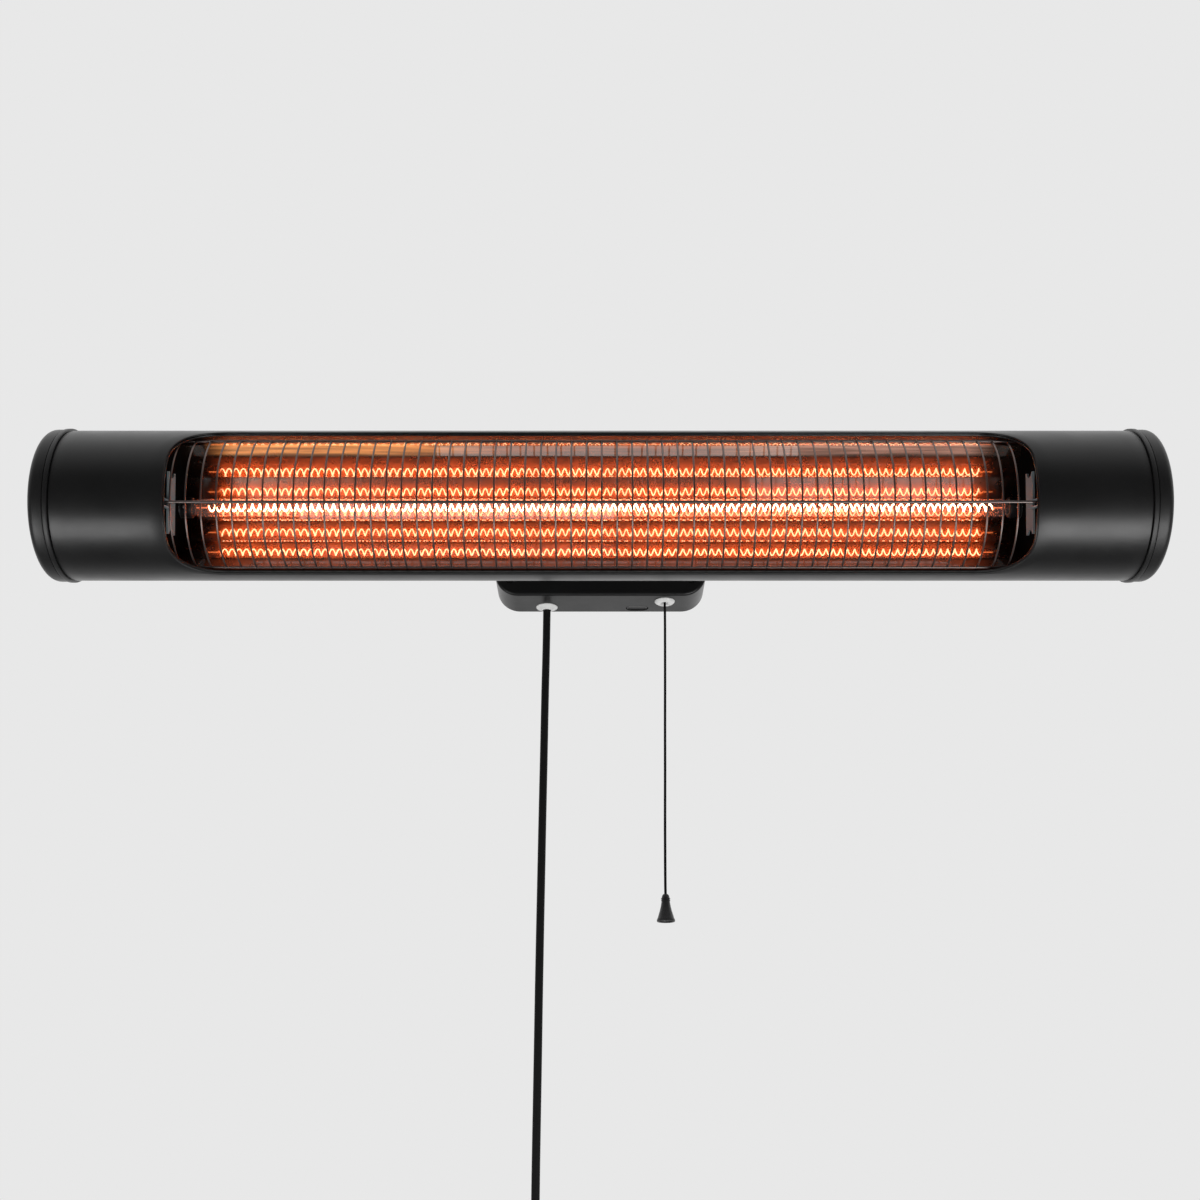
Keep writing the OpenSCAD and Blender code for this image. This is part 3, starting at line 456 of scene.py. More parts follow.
class Effects:
    """Shader node groups that several finishes use, each built once."""

    @classmethod
    def get(cls, name: str) -> Tree:
        """The group of that name, built at its first use."""
        return bpy.data.node_groups.get(name) or getattr(cls, "_" + name)()

    @staticmethod
    def _start(name: str, size: float, outputs: Sequence[str] = ("Height", "Mottle"),
               **more: float) -> tuple[Graph, Node, Node, Socket, Socket]:
        """Starts a pattern with the inputs that every pattern has.

        Args:
            name: the group's name.
            size: usual size of the pattern in millimetres.
            outputs: names of its outputs.
            **more: other number inputs with their values.

        Returns:
            The graph, its input and output nodes, the coordinates, and the scale for the size.
        """
        inputs = {"Vector": ("NodeSocketVector", 0.0), "Size": ("NodeSocketFloat", size)}
        inputs |= {label: ("NodeSocketFloat", value) for label, value in more.items()}
        g, given, out = new_group(name, inputs, outputs)
        return g, given, out, given.outputs["Vector"], g.math("DIVIDE", 1000.0, given.outputs["Size"])

    @staticmethod
    def _fine_grain() -> Tree:
        """The orange-peel texture of powder coat and moulded plastic.

        Returns:
            The group.
        """
        g, _, out, where, scale = Effects._start("fine_grain", 0.8)
        fine = g.noise(where, scale, 2.0, 0.6)
        broad = g.noise(where, g.math("MULTIPLY", scale, 0.28), 2.0, 0.5)
        cloud = g.noise(where, g.math("MULTIPLY", scale, 0.02), 3.0, 0.6)
        speck = g.ramp(fine, 0.35, 0.75)
        g.feed(out, Height=g.weigh(fine, 0.6, broad, 0.4), Mottle=g.weigh(speck, 0.45, cloud, 0.55))
        return g.tree

    @staticmethod
    def _drawn_lines() -> Tree:
        """Fine lines along X, as rolling and drawing leave on metal.

        Returns:
            The group.
        """
        g, _, out, where, scale = Effects._start("drawn_lines", 0.4)
        lines = g.noise(g.stretched(where, (0.02, 1.0, 1.0)), scale, 3.0, 0.65)
        cloud = g.noise(where, g.math("MULTIPLY", scale, 0.02), 2.0, 0.5)
        g.feed(out, Height=lines, Mottle=g.weigh(lines, 0.5, cloud, 0.5))
        return g.tree

    @staticmethod
    def _braid() -> Tree:
        """A braided sheath; its vector runs once round the cord in U and along it in V.

        Returns:
            The group.
        """
        strands = 8.0
        g, given, out, where, _ = Effects._start("braid", 1.0)
        split = g.add("ShaderNodeSeparateXYZ", i0=where)
        around = g.math("MULTIPLY", split.outputs[0], strands)
        along = g.math("DIVIDE", split.outputs[1], given.outputs["Size"])
        left, right = (
            g.math("ABSOLUTE", g.math("SINE", g.math("MULTIPLY", g.math(way, around, along), 2 * math.pi)))
            for way in ("ADD", "SUBTRACT"))
        height = g.math("MULTIPLY", g.math("ADD", left, right), 0.5)
        g.feed(out, Height=height, Mottle=g.math("MULTIPLY", height, height))
        return g.tree

    @staticmethod
    def _handling_marks() -> Tree:
        """Roughness that wanders between a clean and a handled value.

        Returns:
            The group.
        """
        g, given, out, where, scale = Effects._start("handling_marks", 40.0, ["Roughness"], Clean=0.4,
                                                     Handled=0.5)
        marks = g.noise(where, scale, 5.0, 0.65)
        g.feed(out, Roughness=g.ramp(marks, 0.35, 0.65, given.outputs["Clean"], given.outputs["Handled"]))
        return g.tree


# ---- finishes ----


FINISHED: dict[str, bpy.types.Material] = {}


class Texture(Enum):
    """The patterns that a finish can have; the value is the node group's name."""

    GRAIN = "fine_grain"
    DRAWN = "drawn_lines"
    BRAID = "braid"


def blank_material(name: str) -> tuple[Graph, Node]:
    """Makes a material with a plain Principled BSDF and notes it as finished.

    Args:
        name: the name of its slot.

    Returns:
        Its graph and the shader node.
    """
    material = bpy.data.materials.new(name + "_finish")
    material.use_nodes = True
    material.node_tree.nodes.clear()
    FINISHED[name] = material
    graph = Graph(material.node_tree)
    shader = graph.add("ShaderNodeBsdfPrincipled")
    graph.add("ShaderNodeOutputMaterial", Surface=shader.outputs[0])
    return graph, shader


class AnyFinish:
    """What every finish has: one material.

    Attributes:
        slot: the record's material slot.
    """

    slot: str

    def material(self) -> bpy.types.Material:
        """The finish's material, built at its first use.

        Returns:
            The material.
        """
        if self.slot not in FINISHED:
            self.fill(*blank_material(self.slot))
        return FINISHED[self.slot]

    def fill(self, g: Graph, shader: Node) -> None:
        """Gives the shader its inputs, in each finish's own way.

        Args:
            g: the material's graph.
            shader: its shader node.
        """
        raise NotImplementedError


@dataclass(frozen=True)
class Finish(AnyFinish):
    """A finish with its colour, gloss and fine structure.

    Attributes:
        slot: the record's material slot.
        colour: its colour.
        mottle: the colour that its fine structure runs to.
        clean: roughness of the clean surface.
        handled: roughness where it was handled.
        metallic: 1 for bare metal.
        texture: its pattern.
        size: size of the pattern in millimetres.
        depth: depth of the pattern in millimetres.
        specular: specular level.
    """

    slot: str
    colour: Colour
    mottle: Colour
    clean: float = 0.4
    handled: float = 0.5
    metallic: float = 0.0
    texture: Texture = Texture.GRAIN
    size: float = 0.8
    depth: float = 0.02
    specular: float = 0.5

    def fill(self, g: Graph, shader: Node) -> None:
        """Gives the shader the pattern, the colours and a gloss that handling has dulled in places.

        Args:
            g: the material's graph.
            shader: its shader node.
        """
        on_piece = g.where("UV" if self.texture is Texture.BRAID else "Object")
        pattern = g.effect(self.texture.value, on_piece, self.size)
        marks = g.effect("handling_marks", g.where(), 40.0, Clean=self.clean, Handled=self.handled)
        g.feed(shader, Base_Color=g.mix(pattern.outputs["Mottle"], self.colour, self.mottle),
               Roughness=marks.outputs["Roughness"], Normal=g.bump(pattern.outputs["Height"], self.depth),
               Metallic=self.metallic, Specular_IOR_Level=self.specular)


@dataclass(frozen=True)
class PolishedSheet(AnyFinish):
    """Bright rolled aluminium: a soft broad gloss under a thin mirror skin, a little uneven, with painted
    light and painted reflections given out as emission.

    Attributes:
        slot: the record's material slot.
        colour: its colour under the skin, tinted warm as painted light of the coil.
        painted_glow: painted light, as emission, in place of the lamp's light going to and fro between the
            folds.
        painted_edge_glow: painted light under the upper edge, a painted reflection of the lamps.
        painted_pale_reflection: a paler painted reflection under the upper edge's right part.
        painted_flange_glow: painted light on the upper flange.
        glow_half: half of the length that glows.
        glow_fade: half of the length over which it fades at its ends.
        roughness: roughness under the skin.
        skin_ior: index of the mirror skin.
        wave: length of its dents in millimetres.
        wave_depth: their depth in millimetres.
    """

    slot: str = "reflector_aluminium"
    # Warm tint: painted light of the coil on grey aluminium.
    colour: Colour = (0.18, 0.125, 0.095)
    # Painted light, given out as emission: the lamp's light between the folds, and painted reflections under
    # the upper edge and on the flange.
    painted_glow: Colour = (0.110, 0.016, 0.004)
    painted_edge_glow: Colour = (0.66, 0.24, 0.07)
    painted_pale_reflection: Colour = (0.30, 0.15, 0.11)
    painted_flange_glow: Colour = (0.030, 0.010, 0.006)
    glow_half: float = 308.0
    glow_fade: float = 12.0
    roughness: float = 0.27
    skin_ior: float = 1.9
    wave: float = 34.0
    wave_depth: float = 0.06

    def fill(self, g: Graph, shader: Node) -> None:
        """Gives the shader its base, its mirror skin, its dents and its painted light as emission.

        Args:
            g: the material's graph.
            shader: its shader node.
        """
        where = g.where()
        lines = g.effect("drawn_lines", where, 0.5)
        waves = g.noise(where, 1000.0 / self.wave, 2.0, 0.5)
        height = g.math("ADD", waves, g.math("MULTIPLY", lines.outputs["Height"], 0.02))
        dents = g.bump(height, self.wave_depth)
        marks = g.effect("handling_marks", where, 25.0, Clean=self.roughness - 0.02,
                         Handled=self.roughness + 0.03)
        darker = tuple(0.86 * c for c in self.colour)
        # The emission is painted light and painted reflections, with painted shade in the folds.
        g.feed(shader, Base_Color=g.mix(lines.outputs["Mottle"], self.colour, darker),
               Roughness=marks.outputs["Roughness"], Normal=dents, Coat_Normal=dents, Metallic=1.0,
               Coat_Weight=1.0, Coat_Roughness=0.0, Coat_IOR=self.skin_ior,
               Emission_Color=self._painted_light(g, where), Emission_Strength=1.0)

    def _painted_light(self, g: Graph, where: Socket) -> Socket:
        """The colour of the painted light: even along the lamp, faded at its ends, with painted reflections
        under the upper edge.

        Args:
            g: the material's graph.
            where: object coordinates.

        Returns:
            A colour socket.
        """
        head = Place.HEAD.matrix()
        up = (head.to_3x3() @ Vector((0, 0, 1))).normalized()
        high = g.math("SUBTRACT", g.reach(where, tuple(up)), head.translation.dot(up))
        sideways = g.across(where)
        along = g.math("ABSOLUTE", sideways)
        top_fold, flange_fold = FOLDS[2][0], FOLDS[3][0]
        edge = g.ramp(high, (top_fold - 0.5) * MM, (top_fold + 0.5) * MM)
        flange = g.ramp(high, (flange_fold - 0.2) * MM, (flange_fold + 0.6) * MM)
        far = g.ramp(along, 80 * MM, 170 * MM, 0.10)
        right = g.ramp(sideways, 30 * MM, 160 * MM)
        # Painted reflections under the upper edge: orange up to the middle, paler to the right.
        painted_edge_reflection = g.mix(right, self.painted_edge_glow, self.painted_pale_reflection)
        colour = g.mix(g.math("MULTIPLY", edge, far), self.painted_glow, painted_edge_reflection)
        colour = g.mix(flange, colour, self.painted_flange_glow)
        rising = g.ramp(high, (top_fold + 0.2) * MM, (flange_fold - 1.0) * MM, 0.6, 1.3)
        level = g.math("MULTIPLY", self._painted_light_level(g, high, along), self._painted_patches(g, where, edge, rising))
        return g.dimmed(colour, level)

    def _painted_light_level(self, g: Graph, high: Socket, along: Socket) -> Socket:
        """How much of the painted light is left: none past the lamp's ends, little in the folds, where it
        paints shade.

        Args:
            g: the material's graph.
            high: height above the middle of the head.
            along: distance from the middle along the head.

        Returns:
            A level socket.
        """
        lit = g.ramp(along, (self.glow_half + self.glow_fade) * MM, (self.glow_half - self.glow_fade) * MM)
        # Painted shade: less painted light along each fold.
        for fold, _ in FOLDS[:3]:
            off = g.math("ABSOLUTE", g.math("SUBTRACT", g.math("ABSOLUTE", high), fold * MM))
            lit = g.math("MULTIPLY", lit, g.ramp(off, 0.3 * MM, 2.2 * MM, 0.15))
        return lit

    def _painted_patches(self, g: Graph, where: Socket, edge: Socket, rising: Socket) -> Socket:
        """Uneven painted light: upright patches on the folds, and painted reflections drawn along the sheet
        under the upper edge.

        Args:
            g: the material's graph.
            where: object coordinates.
            edge: 1 under the upper edge.
            rising: how the streaks gain upwards.

        Returns:
            A level socket.
        """
        # Painted light in upright patches, and painted reflections in streaks along the sheet.
        patches = g.ramp(g.noise(g.stretched(where, (1.0, 0.12, 0.12)), 110.0, 1.0, 0.5), 0.3, 0.7, 0.7, 1.3)
        streaks = g.ramp(g.noise(g.stretched(where, (0.035, 1.0, 1.0)), 520.0, 2.0, 0.5), 0.3, 0.7, 0.45, 1.5)
        return g.math("ADD", g.math("MULTIPLY", patches, g.math("SUBTRACT", 1.0, edge)),
                      g.math("MULTIPLY", edge, g.math("MULTIPLY", streaks, rising)))


@dataclass(frozen=True)
class ClearQuartz(AnyFinish):
    """Thin clear quartz: seen mostly at its rims, where it mirrors.

    Attributes:
        slot: the record's material slot.
        clear: how much of it shows face on.
        rim: how much of it shows at its rims.
    """

    slot: str = "quartz"
    clear: float = 0.05
    rim: float = 0.75

    def fill(self, g: Graph, shader: Node) -> None:
        """Gives the shader a faint haze and clear middle.

        Args:
            g: the material's graph.
            shader: its shader node.
        """
        haze = g.noise(g.where(), 90.0, 3.0, 0.6)
        facing = g.math("POWER", g.add("ShaderNodeLayerWeight", Blend=0.35).outputs["Facing"], 2.4)
        alpha = g.ramp(g.math("ADD", facing, g.math("MULTIPLY", haze, 0.05)), 0.0, 1.0, self.clear, self.rim)
        g.feed(shader, Base_Color=g.mix(haze, (0.80, 0.74, 0.72), (0.92, 0.88, 0.86)), Alpha=alpha,
               Normal=g.bump(haze, 0.02), Roughness=0.04, Specular_IOR_Level=0.9)


@dataclass(frozen=True)
class GlowingWire(AnyFinish):
    """The lamp's coil: white hot where it is seen, and a red-orange light on what is around it.

    Attributes:
        slot: the record's material slot.
        seen: colour where the coil or its mirror image is seen.
        lead: colour of its straight ends.
        cast: colour of its light on other pieces.
        seen_level: strength where it is seen.
        lead_level: strength of its straight ends.
        cast_level: strength of its light on other pieces.
        coil_half: half of the length that glows in full.
        lead_fade: length over which it cools to its straight ends.
    """

    slot: str = "glowing_wire"
    seen: Colour = (1.0, 0.57, 0.29)
    lead: Colour = (1.0, 0.20, 0.05)
    cast: Colour = (1.0, 0.15, 0.03)
    seen_level: float = 18.0
    lead_level: float = 0.8
    cast_level: float = 26.0
    coil_half: float = 316.0
    lead_fade: float = 2.5

    def fill(self, g: Graph, shader: Node) -> None:
        """Gives the shader its light, by what sees it and by the place along the coil.

        Args:
            g: the material's graph.
            shader: its shader node.
        """
        where = g.where()
        path = g.add("ShaderNodeLightPath")
        mirrored = path.outputs["Is Singular Ray"]
        seen = g.math("MAXIMUM", path.outputs["Is Camera Ray"], mirrored)
        along = g.math("ABSOLUTE", g.across(where))
        lead = g.ramp(along, self.coil_half * MM, (self.coil_half + self.lead_fade) * MM)
        flicker = g.ramp(g.noise(where, 60.0, 2.0, 0.5), 0.3, 0.7, 0.75, 1.15)
        colour = g.mix(seen, self.cast, g.mix(lead, self.seen, self.lead))
        lead_level = g.ramp(mirrored, 0.0, 1.0, self.lead_level, self.seen_level / 3)
        coil_level = g.ramp(seen, 0.0, 1.0, self.cast_level, self.seen_level)
        level = g.ramp(lead, 0.0, 1.0, coil_level, lead_level)
        g.feed(shader, Emission_Color=g.dimmed(colour, g.math("MULTIPLY", level, flicker)),
               Emission_Strength=1.0, Base_Color=(0.25, 0.2, 0.18, 1), Roughness=0.5)


TUBE_COAT = Finish("tube_coat", (0.0055, 0.0055, 0.0057), (0.0080, 0.0080, 0.0082), 0.33, 0.39,
                   size=1.1, depth=0.035)
TRIM_COAT = Finish("trim_coat", (0.006, 0.006, 0.006), (0.010, 0.010, 0.010), 0.30, 0.36, size=0.7)
CAP_PLASTIC = Finish("cap_plastic", (0.0060, 0.0060, 0.0062), (0.0085, 0.0085, 0.0087), 0.38, 0.46,
                     size=0.9, depth=0.02)
BOX_PLASTIC = Finish("box_plastic", (0.0060, 0.0060, 0.0062), (0.0085, 0.0085, 0.0087), 0.30, 0.38,
                     size=0.7, depth=0.018, specular=0.28)
BRACKET_COAT = Finish("bracket_coat", (0.014, 0.014, 0.0145), (0.020, 0.020, 0.021), 0.42, 0.5, size=1.0)
GUARD_STEEL = Finish("guard_steel", (0.19, 0.155, 0.145), (0.13, 0.107, 0.10), 0.28, 0.36, 0.9,
                     Texture.GRAIN, 0.5, 0.01)
BULKHEAD_COAT = Finish("bulkhead_coat", (0.003, 0.003, 0.003), (0.005, 0.005, 0.005), 0.25, 0.36, size=0.8,
                       specular=0.0)
# The straps' blue-green tint is painted against the red light from the window that falls on them, so that
# they read grey.
STRAP_STEEL = Finish("strap_steel", (0.30, 0.37, 0.39), (0.22, 0.27, 0.285), 0.40, 0.5, 0.1,
                     Texture.DRAWN, 0.35, 0.01, specular=0.1)
ZINC_STEEL = Finish("zinc_steel", (0.58, 0.59, 0.60), (0.42, 0.43, 0.45), 0.26, 0.42, 1.0,
                    Texture.GRAIN, 2.4, 0.015)
BLACK_STEEL = Finish("black_steel", (0.03, 0.03, 0.032), (0.05, 0.05, 0.05), 0.30, 0.42, 0.6, size=0.5)
CERAMIC = Finish("ceramic", (0.80, 0.77, 0.70), (0.68, 0.64, 0.56), 0.35, 0.6, size=1.2, depth=0.03)
BUSHING_NYLON = Finish("bushing_nylon", (0.58, 0.58, 0.575), (0.53, 0.53, 0.52), 0.30, 0.42,
                       size=0.9, depth=0.01)
INNER_PLASTIC = Finish("inner_plastic", (0.70, 0.68, 0.60), (0.62, 0.60, 0.52), 0.38, 0.5, size=0.9)
KNOB_PLASTIC = Finish("knob_plastic", (0.011, 0.011, 0.0115), (0.017, 0.017, 0.0175), 0.38, 0.5, size=0.6)
WASHER_FIBRE = Finish("washer_fibre", (0.30, 0.10, 0.05), (0.20, 0.06, 0.03), 0.6, 0.75, size=0.6)
SLEEVE_RUBBER = Finish("sleeve_rubber", (0.015, 0.015, 0.015), (0.024, 0.024, 0.024), 0.5, 0.62, size=0.8)
LEAD_RUBBER = Finish("lead_rubber", (0.009, 0.009, 0.009), (0.014, 0.014, 0.014), 0.40, 0.5, size=0.6,
                     depth=0.01, specular=0.06)
WIRE_COVER = Finish("wire_cover", (0.55, 0.50, 0.40), (0.42, 0.38, 0.30), 0.5, 0.6, size=0.5)
PLUG_RUBBER = Finish("plug_rubber", (0.013, 0.013, 0.0135), (0.021, 0.021, 0.0215), 0.42, 0.55, size=0.7)
PIN_BRASS = Finish("pin_brass", (0.78, 0.70, 0.50), (0.66, 0.58, 0.40), 0.20, 0.34, 1.0, Texture.GRAIN,
                   0.8, 0.005)
CORD_BRAID = Finish("cord_braid", (0.005, 0.005, 0.005), (0.014, 0.014, 0.014), 0.6, 0.7,
                    texture=Texture.BRAID, size=1.4, depth=0.06, specular=0.0)
REFLECTOR_SHEET = PolishedSheet()
QUARTZ = ClearQuartz()
GLOW = GlowingWire()


# ---- pieces ----


@dataclass(frozen=True)
class Fate:
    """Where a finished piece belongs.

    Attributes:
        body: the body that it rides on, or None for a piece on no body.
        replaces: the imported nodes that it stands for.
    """

    body: Optional[str]
    replaces: tuple[str, ...] = ()


def settle(piece: Piece, fate: Fate) -> Piece:
    """Gives a finished piece its body and what it stands for.

    Args:
        piece: the piece, with its place in its mesh.
        fate: its body and the nodes that it replaces.

    Returns:
        The piece.
    """
    if fate.body:
        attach(piece, fate.body)
    if fate.replaces:
        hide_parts(*fate.replaces)
    LOG.info("%s: %d faces", piece.name, len(piece.data.polygons))
    return piece


def as_piece(name: str, mesh: bpy.types.Mesh, finish: AnyFinish) -> Piece:
    """Puts a mesh in the scene as an object at the origin.

    Args:
        name: its name.
        mesh: the mesh, with its place in it.
        finish: the finish for a mesh that has none yet.

    Returns:
        The object.
    """
    mesh.name = name
    if not mesh.materials:
        mesh.materials.append(finish.material())
    piece = bpy.data.objects.new(name, mesh)
    bpy.context.scene.collection.objects.link(piece)
    return piece


def shaded_mesh(name: str, bm: bmesh.types.BMesh, place: Place, sharp_deg: float) -> bpy.types.Mesh:
    """Turns a bmesh into a smoothly shaded mesh in the part's frame, and frees it.

    Args:
        name: the mesh's name.
        bm: the bmesh, in millimetres.
        place: the frame in which it was made.
        sharp_deg: the angle from which an edge is sharp.

    Returns:
        The mesh.
    """
    bmesh.ops.transform(bm, matrix=place.matrix(), verts=bm.verts)
    mesh = bpy.data.meshes.new(name)
    bm.to_mesh(mesh)
    bm.free()
    mesh.shade_smooth()
    mesh.set_sharp_from_angle(angle=math.radians(sharp_deg))
    return mesh


def cut_back(bm: bmesh.types.BMesh, size: float, steps: int, sharp_deg: float) -> None:
    """Rounds over the sharp edges of a bmesh.

    Args:
        bm: the bmesh.
        size: how far an edge is cut back, in millimetres.
        steps: faces across a cut edge.
        sharp_deg: the angle from which an edge is sharp.
    """
    limit = math.radians(sharp_deg)
    edges = [e for e in bm.edges if len(e.link_faces) == 2 and e.calc_face_angle(0) > limit]
    bmesh.ops.bevel(bm, geom=edges, offset=size, segments=steps, profile=0.5, affect="EDGES",
                    clamp_overlap=True)


def build(name: str, shape: Shape, finish: AnyFinish, fate: Fate, place: Place = Place.BOX,
          bevel: float = 0.0, sharp_deg: float = 38.0) -> Piece:
    """Turns a shape into a finished piece.

    Args:
        name: the piece's name.
        shape: its closed shape.
        finish: its finish.
        fate: its body and the nodes that it replaces.
        place: the frame in which the shape was made.
        bevel: how far sharp edges are cut back, in millimetres.
        sharp_deg: the angle from which an edge is sharp.

    Returns:
        The piece.
    """
    bm = bmesh.new()
    verts = [bm.verts.new(p) for p in shape.points]
    for f in shape.faces:
        bm.faces.new([verts[i] for i in f])
    bmesh.ops.remove_doubles(bm, verts=bm.verts, dist=1e-4)
    bmesh.ops.dissolve_degenerate(bm, dist=1e-5, edges=bm.edges)
    bmesh.ops.recalc_face_normals(bm, faces=bm.faces)
    if bevel > 0:
        cut_back(bm, bevel, 2, sharp_deg)
    return settle(as_piece(name, shaded_mesh(name, bm, place, sharp_deg), finish), fate)


def dress_nodes(nodes: dict[str, Piece], finishes: dict[str, AnyFinish]) -> None:
    """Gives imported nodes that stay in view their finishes.

    Args:
        nodes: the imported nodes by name.
        finishes: the finish of each node that stays.
    """
    for name, finish in finishes.items():
        node = nodes[name]
        node.data.materials.clear()
        node.data.materials.append(finish.material())
        LOG.info("%s: packed node, dressed", name)


def aim_light(lamp: Piece, pieces: Sequence[Piece], lit: bool) -> None:
    """Limits what a lamp or a glowing piece lights.

    Args:
        lamp: the lamp or the glowing piece.
        pieces: the pieces concerned.
        lit: true where it lights only these pieces, false where it leaves them out.
    """
    group = bpy.data.collections.new(lamp.name + "_light")
    for piece in pieces:
        group.objects.link(piece)
    for item in group.collection_objects:
        item.light_linking.link_state = "INCLUDE" if lit else "EXCLUDE"
    lamp.light_linking.receiver_collection = group


# ---- growing trees ----


def new_growth(name: str, numbers: Sequence[str] = (), **others: str) -> tuple[Graph, Node, Node]:
    """Starts a geometry node tree; every tree has an input for its finish.

    Args:
        name: its name.
        numbers: names of its number inputs.
        **others: its other inputs with their socket types.

    Returns:
        The graph, its input node and its output node.
    """
    tree = bpy.data.node_groups.new(name, "GeometryNodeTree")
    tree.interface.new_socket("Geometry", in_out="INPUT", socket_type="NodeSocketGeometry")
    inputs = dict.fromkeys(numbers, "NodeSocketFloat") | others | {"Finish": "NodeSocketMaterial"}
    for label, kind in inputs.items():
        tree.interface.new_socket(label, in_out="INPUT", socket_type=kind)
    tree.interface.new_socket("Geometry", in_out="OUTPUT", socket_type="NodeSocketGeometry")
    graph = Graph(tree)
    return graph, graph.add("NodeGroupInput"), graph.add("NodeGroupOutput")


def end_growth(g: Graph, given: Node, out: Node, grown: Socket) -> Tree:
    """Ends a tree: what has grown is made real and gets its finish.

    Args:
        g: the tree's graph.
        given: its input node.
        out: its output node.
        grown: the grown geometry.

    Returns:
        The tree.
    """
    real = g.add("GeometryNodeRealizeInstances", i0=grown)
    done = g.add("GeometryNodeSetMaterial", i0=real.outputs[0], Material=given.outputs["Finish"])
    g.feed(out, i0=done.outputs[0])
    return g.tree


def grown_mesh(base: bpy.types.Mesh, tree: bpy.types.NodeTree, values: dict[str, object]) -> bpy.types.Mesh:
    """Runs a geometry node tree on a mesh and keeps the result as a plain mesh.

    Args:
        base: the mesh that the tree starts from.
        tree: the tree.
        values: values for its named inputs.

    Returns:
        The grown mesh.
    """
    seed = bpy.data.objects.new("seed", base)
    bpy.context.scene.collection.objects.link(seed)
    modifier = seed.modifiers.new("grow", "NODES")
    modifier.node_group = tree
    for item in tree.interface.items_tree:
        if item.in_out == "INPUT" and item.name in values:
            modifier[item.identifier] = values[item.name]
    bpy.context.view_layer.update()
    evaluated = seed.evaluated_get(bpy.context.evaluated_depsgraph_get())
    mesh = bpy.data.meshes.new_from_object(evaluated)
    seed.modifiers.remove(modifier)
    bpy.data.objects.remove(seed)
    return mesh


class Growths:
    """Geometry node trees for pieces that repeat or follow a rule."""

    @staticmethod
    def bowed_wires() -> Tree:
        """A row of bowed wires across the window, in the head's frame, in metres.

        Returns:
            The tree.
        """
        g, given, out = new_growth("bowed_wires", ("Pitch", "First", "Bow", "From", "Sweep", "Wire"),
                                   Count="NodeSocketInt")
        arc = g.add("GeometryNodeCurveArc", {"mode": "RADIUS"}, Resolution=33, Radius=given.outputs["Bow"],
                    Start_Angle=given.outputs["From"], Sweep_Angle=given.outputs["Sweep"])
        ring = g.add("GeometryNodeCurvePrimitiveCircle", {"mode": "RADIUS"}, Resolution=8,
                     Radius=given.outputs["Wire"])
        wire = g.add("GeometryNodeCurveToMesh", i0=arc.outputs[0], i1=ring.outputs[0], Fill_Caps=True)
        smooth = g.add("GeometryNodeSetShadeSmooth", i0=wire.outputs[0])
        upright = Matrix(((0, 0, -1), (-1, 0, 0), (0, 1, 0))).to_euler()
        turned = g.add("GeometryNodeTransform", Geometry=smooth.outputs[0], Rotation=tuple(upright))
        start, step = (g.add("ShaderNodeCombineXYZ", X=given.outputs[name]).outputs[0]
                       for name in ("First", "Pitch"))
        line = g.add("GeometryNodeMeshLine", {"mode": "OFFSET"}, Count=given.outputs["Count"],
                     Start_Location=start, Offset=step)
        copies = g.add("GeometryNodeInstanceOnPoints", Points=line.outputs[0], Instance=turned.outputs[0])
        return end_growth(g, given, out, copies.outputs[0])

    @staticmethod
    def copies_on_marks() -> Tree:
        """Copies of a small piece on marks; each mark's facing attribute says where its top looks.

        Returns:
            The tree.
        """
        g, given, out = new_growth("copies_on_marks", Piece="NodeSocketObject")
        piece = g.add("GeometryNodeObjectInfo", i0=given.outputs["Piece"])
        facing = g.add("GeometryNodeInputNamedAttribute", {"data_type": "FLOAT_VECTOR"}, Name="facing")
        turn = g.add("FunctionNodeAlignRotationToVector", {"axis": "Z"}, Vector=facing.outputs[0])
        copies = g.add("GeometryNodeInstanceOnPoints", Points=given.outputs[0],
                       Instance=piece.outputs["Geometry"], Rotation=turn.outputs[0])
        return end_growth(g, given, out, copies.outputs[0])

    @staticmethod
    def ribbed_hose() -> Tree:
        """A hose along the edges of the mesh that it grows on, its radius rippled by ribs.

        Returns:
            The tree.
        """
        g, given, out = new_growth("ribbed_hose", ("Radius", "Rib", "Pitch"))
        line = g.add("GeometryNodeMeshToCurve", i0=given.outputs[0])
        fine = g.add("GeometryNodeResampleCurve", {"mode": "COUNT"}, i0=line.outputs[0], Count=110)
        length = g.add("GeometryNodeSplineParameter").outputs["Length"]
        ribs = g.math("DIVIDE", length, given.outputs["Pitch"])
        wave = g.math("SINE", g.math("MULTIPLY", ribs, 2 * math.pi))
        radius = g.math("ADD", given.outputs["Radius"], g.math("MULTIPLY", wave, given.outputs["Rib"]))
        ring = g.add("GeometryNodeCurvePrimitiveCircle", {"mode": "RADIUS"}, Resolution=28, Radius=1.0)
        hose = g.add("GeometryNodeCurveToMesh", i0=fine.outputs[0], i1=ring.outputs[0], Scale=radius,
                     Fill_Caps=True)
        smooth = g.add("GeometryNodeSetShadeSmooth", i0=hose.outputs[0])
        return end_growth(g, given, out, smooth.outputs[0])


def marks_mesh(marks: Sequence[tuple[Vector, Vector]]) -> bpy.types.Mesh:
    """A mesh of loose points, each with the direction that a copy on it faces.

    Args:
        marks: pairs of place and direction, in metres, in the part's frame.

    Returns:
        The mesh.
    """
    mesh = bpy.data.meshes.new("marks")
    mesh.from_pydata([m[0] for m in marks], [], [])
    facing = mesh.attributes.new("facing", "FLOAT_VECTOR", "POINT")
    for i, mark in enumerate(marks):
        facing.data[i].vector = mark[1]
    return mesh


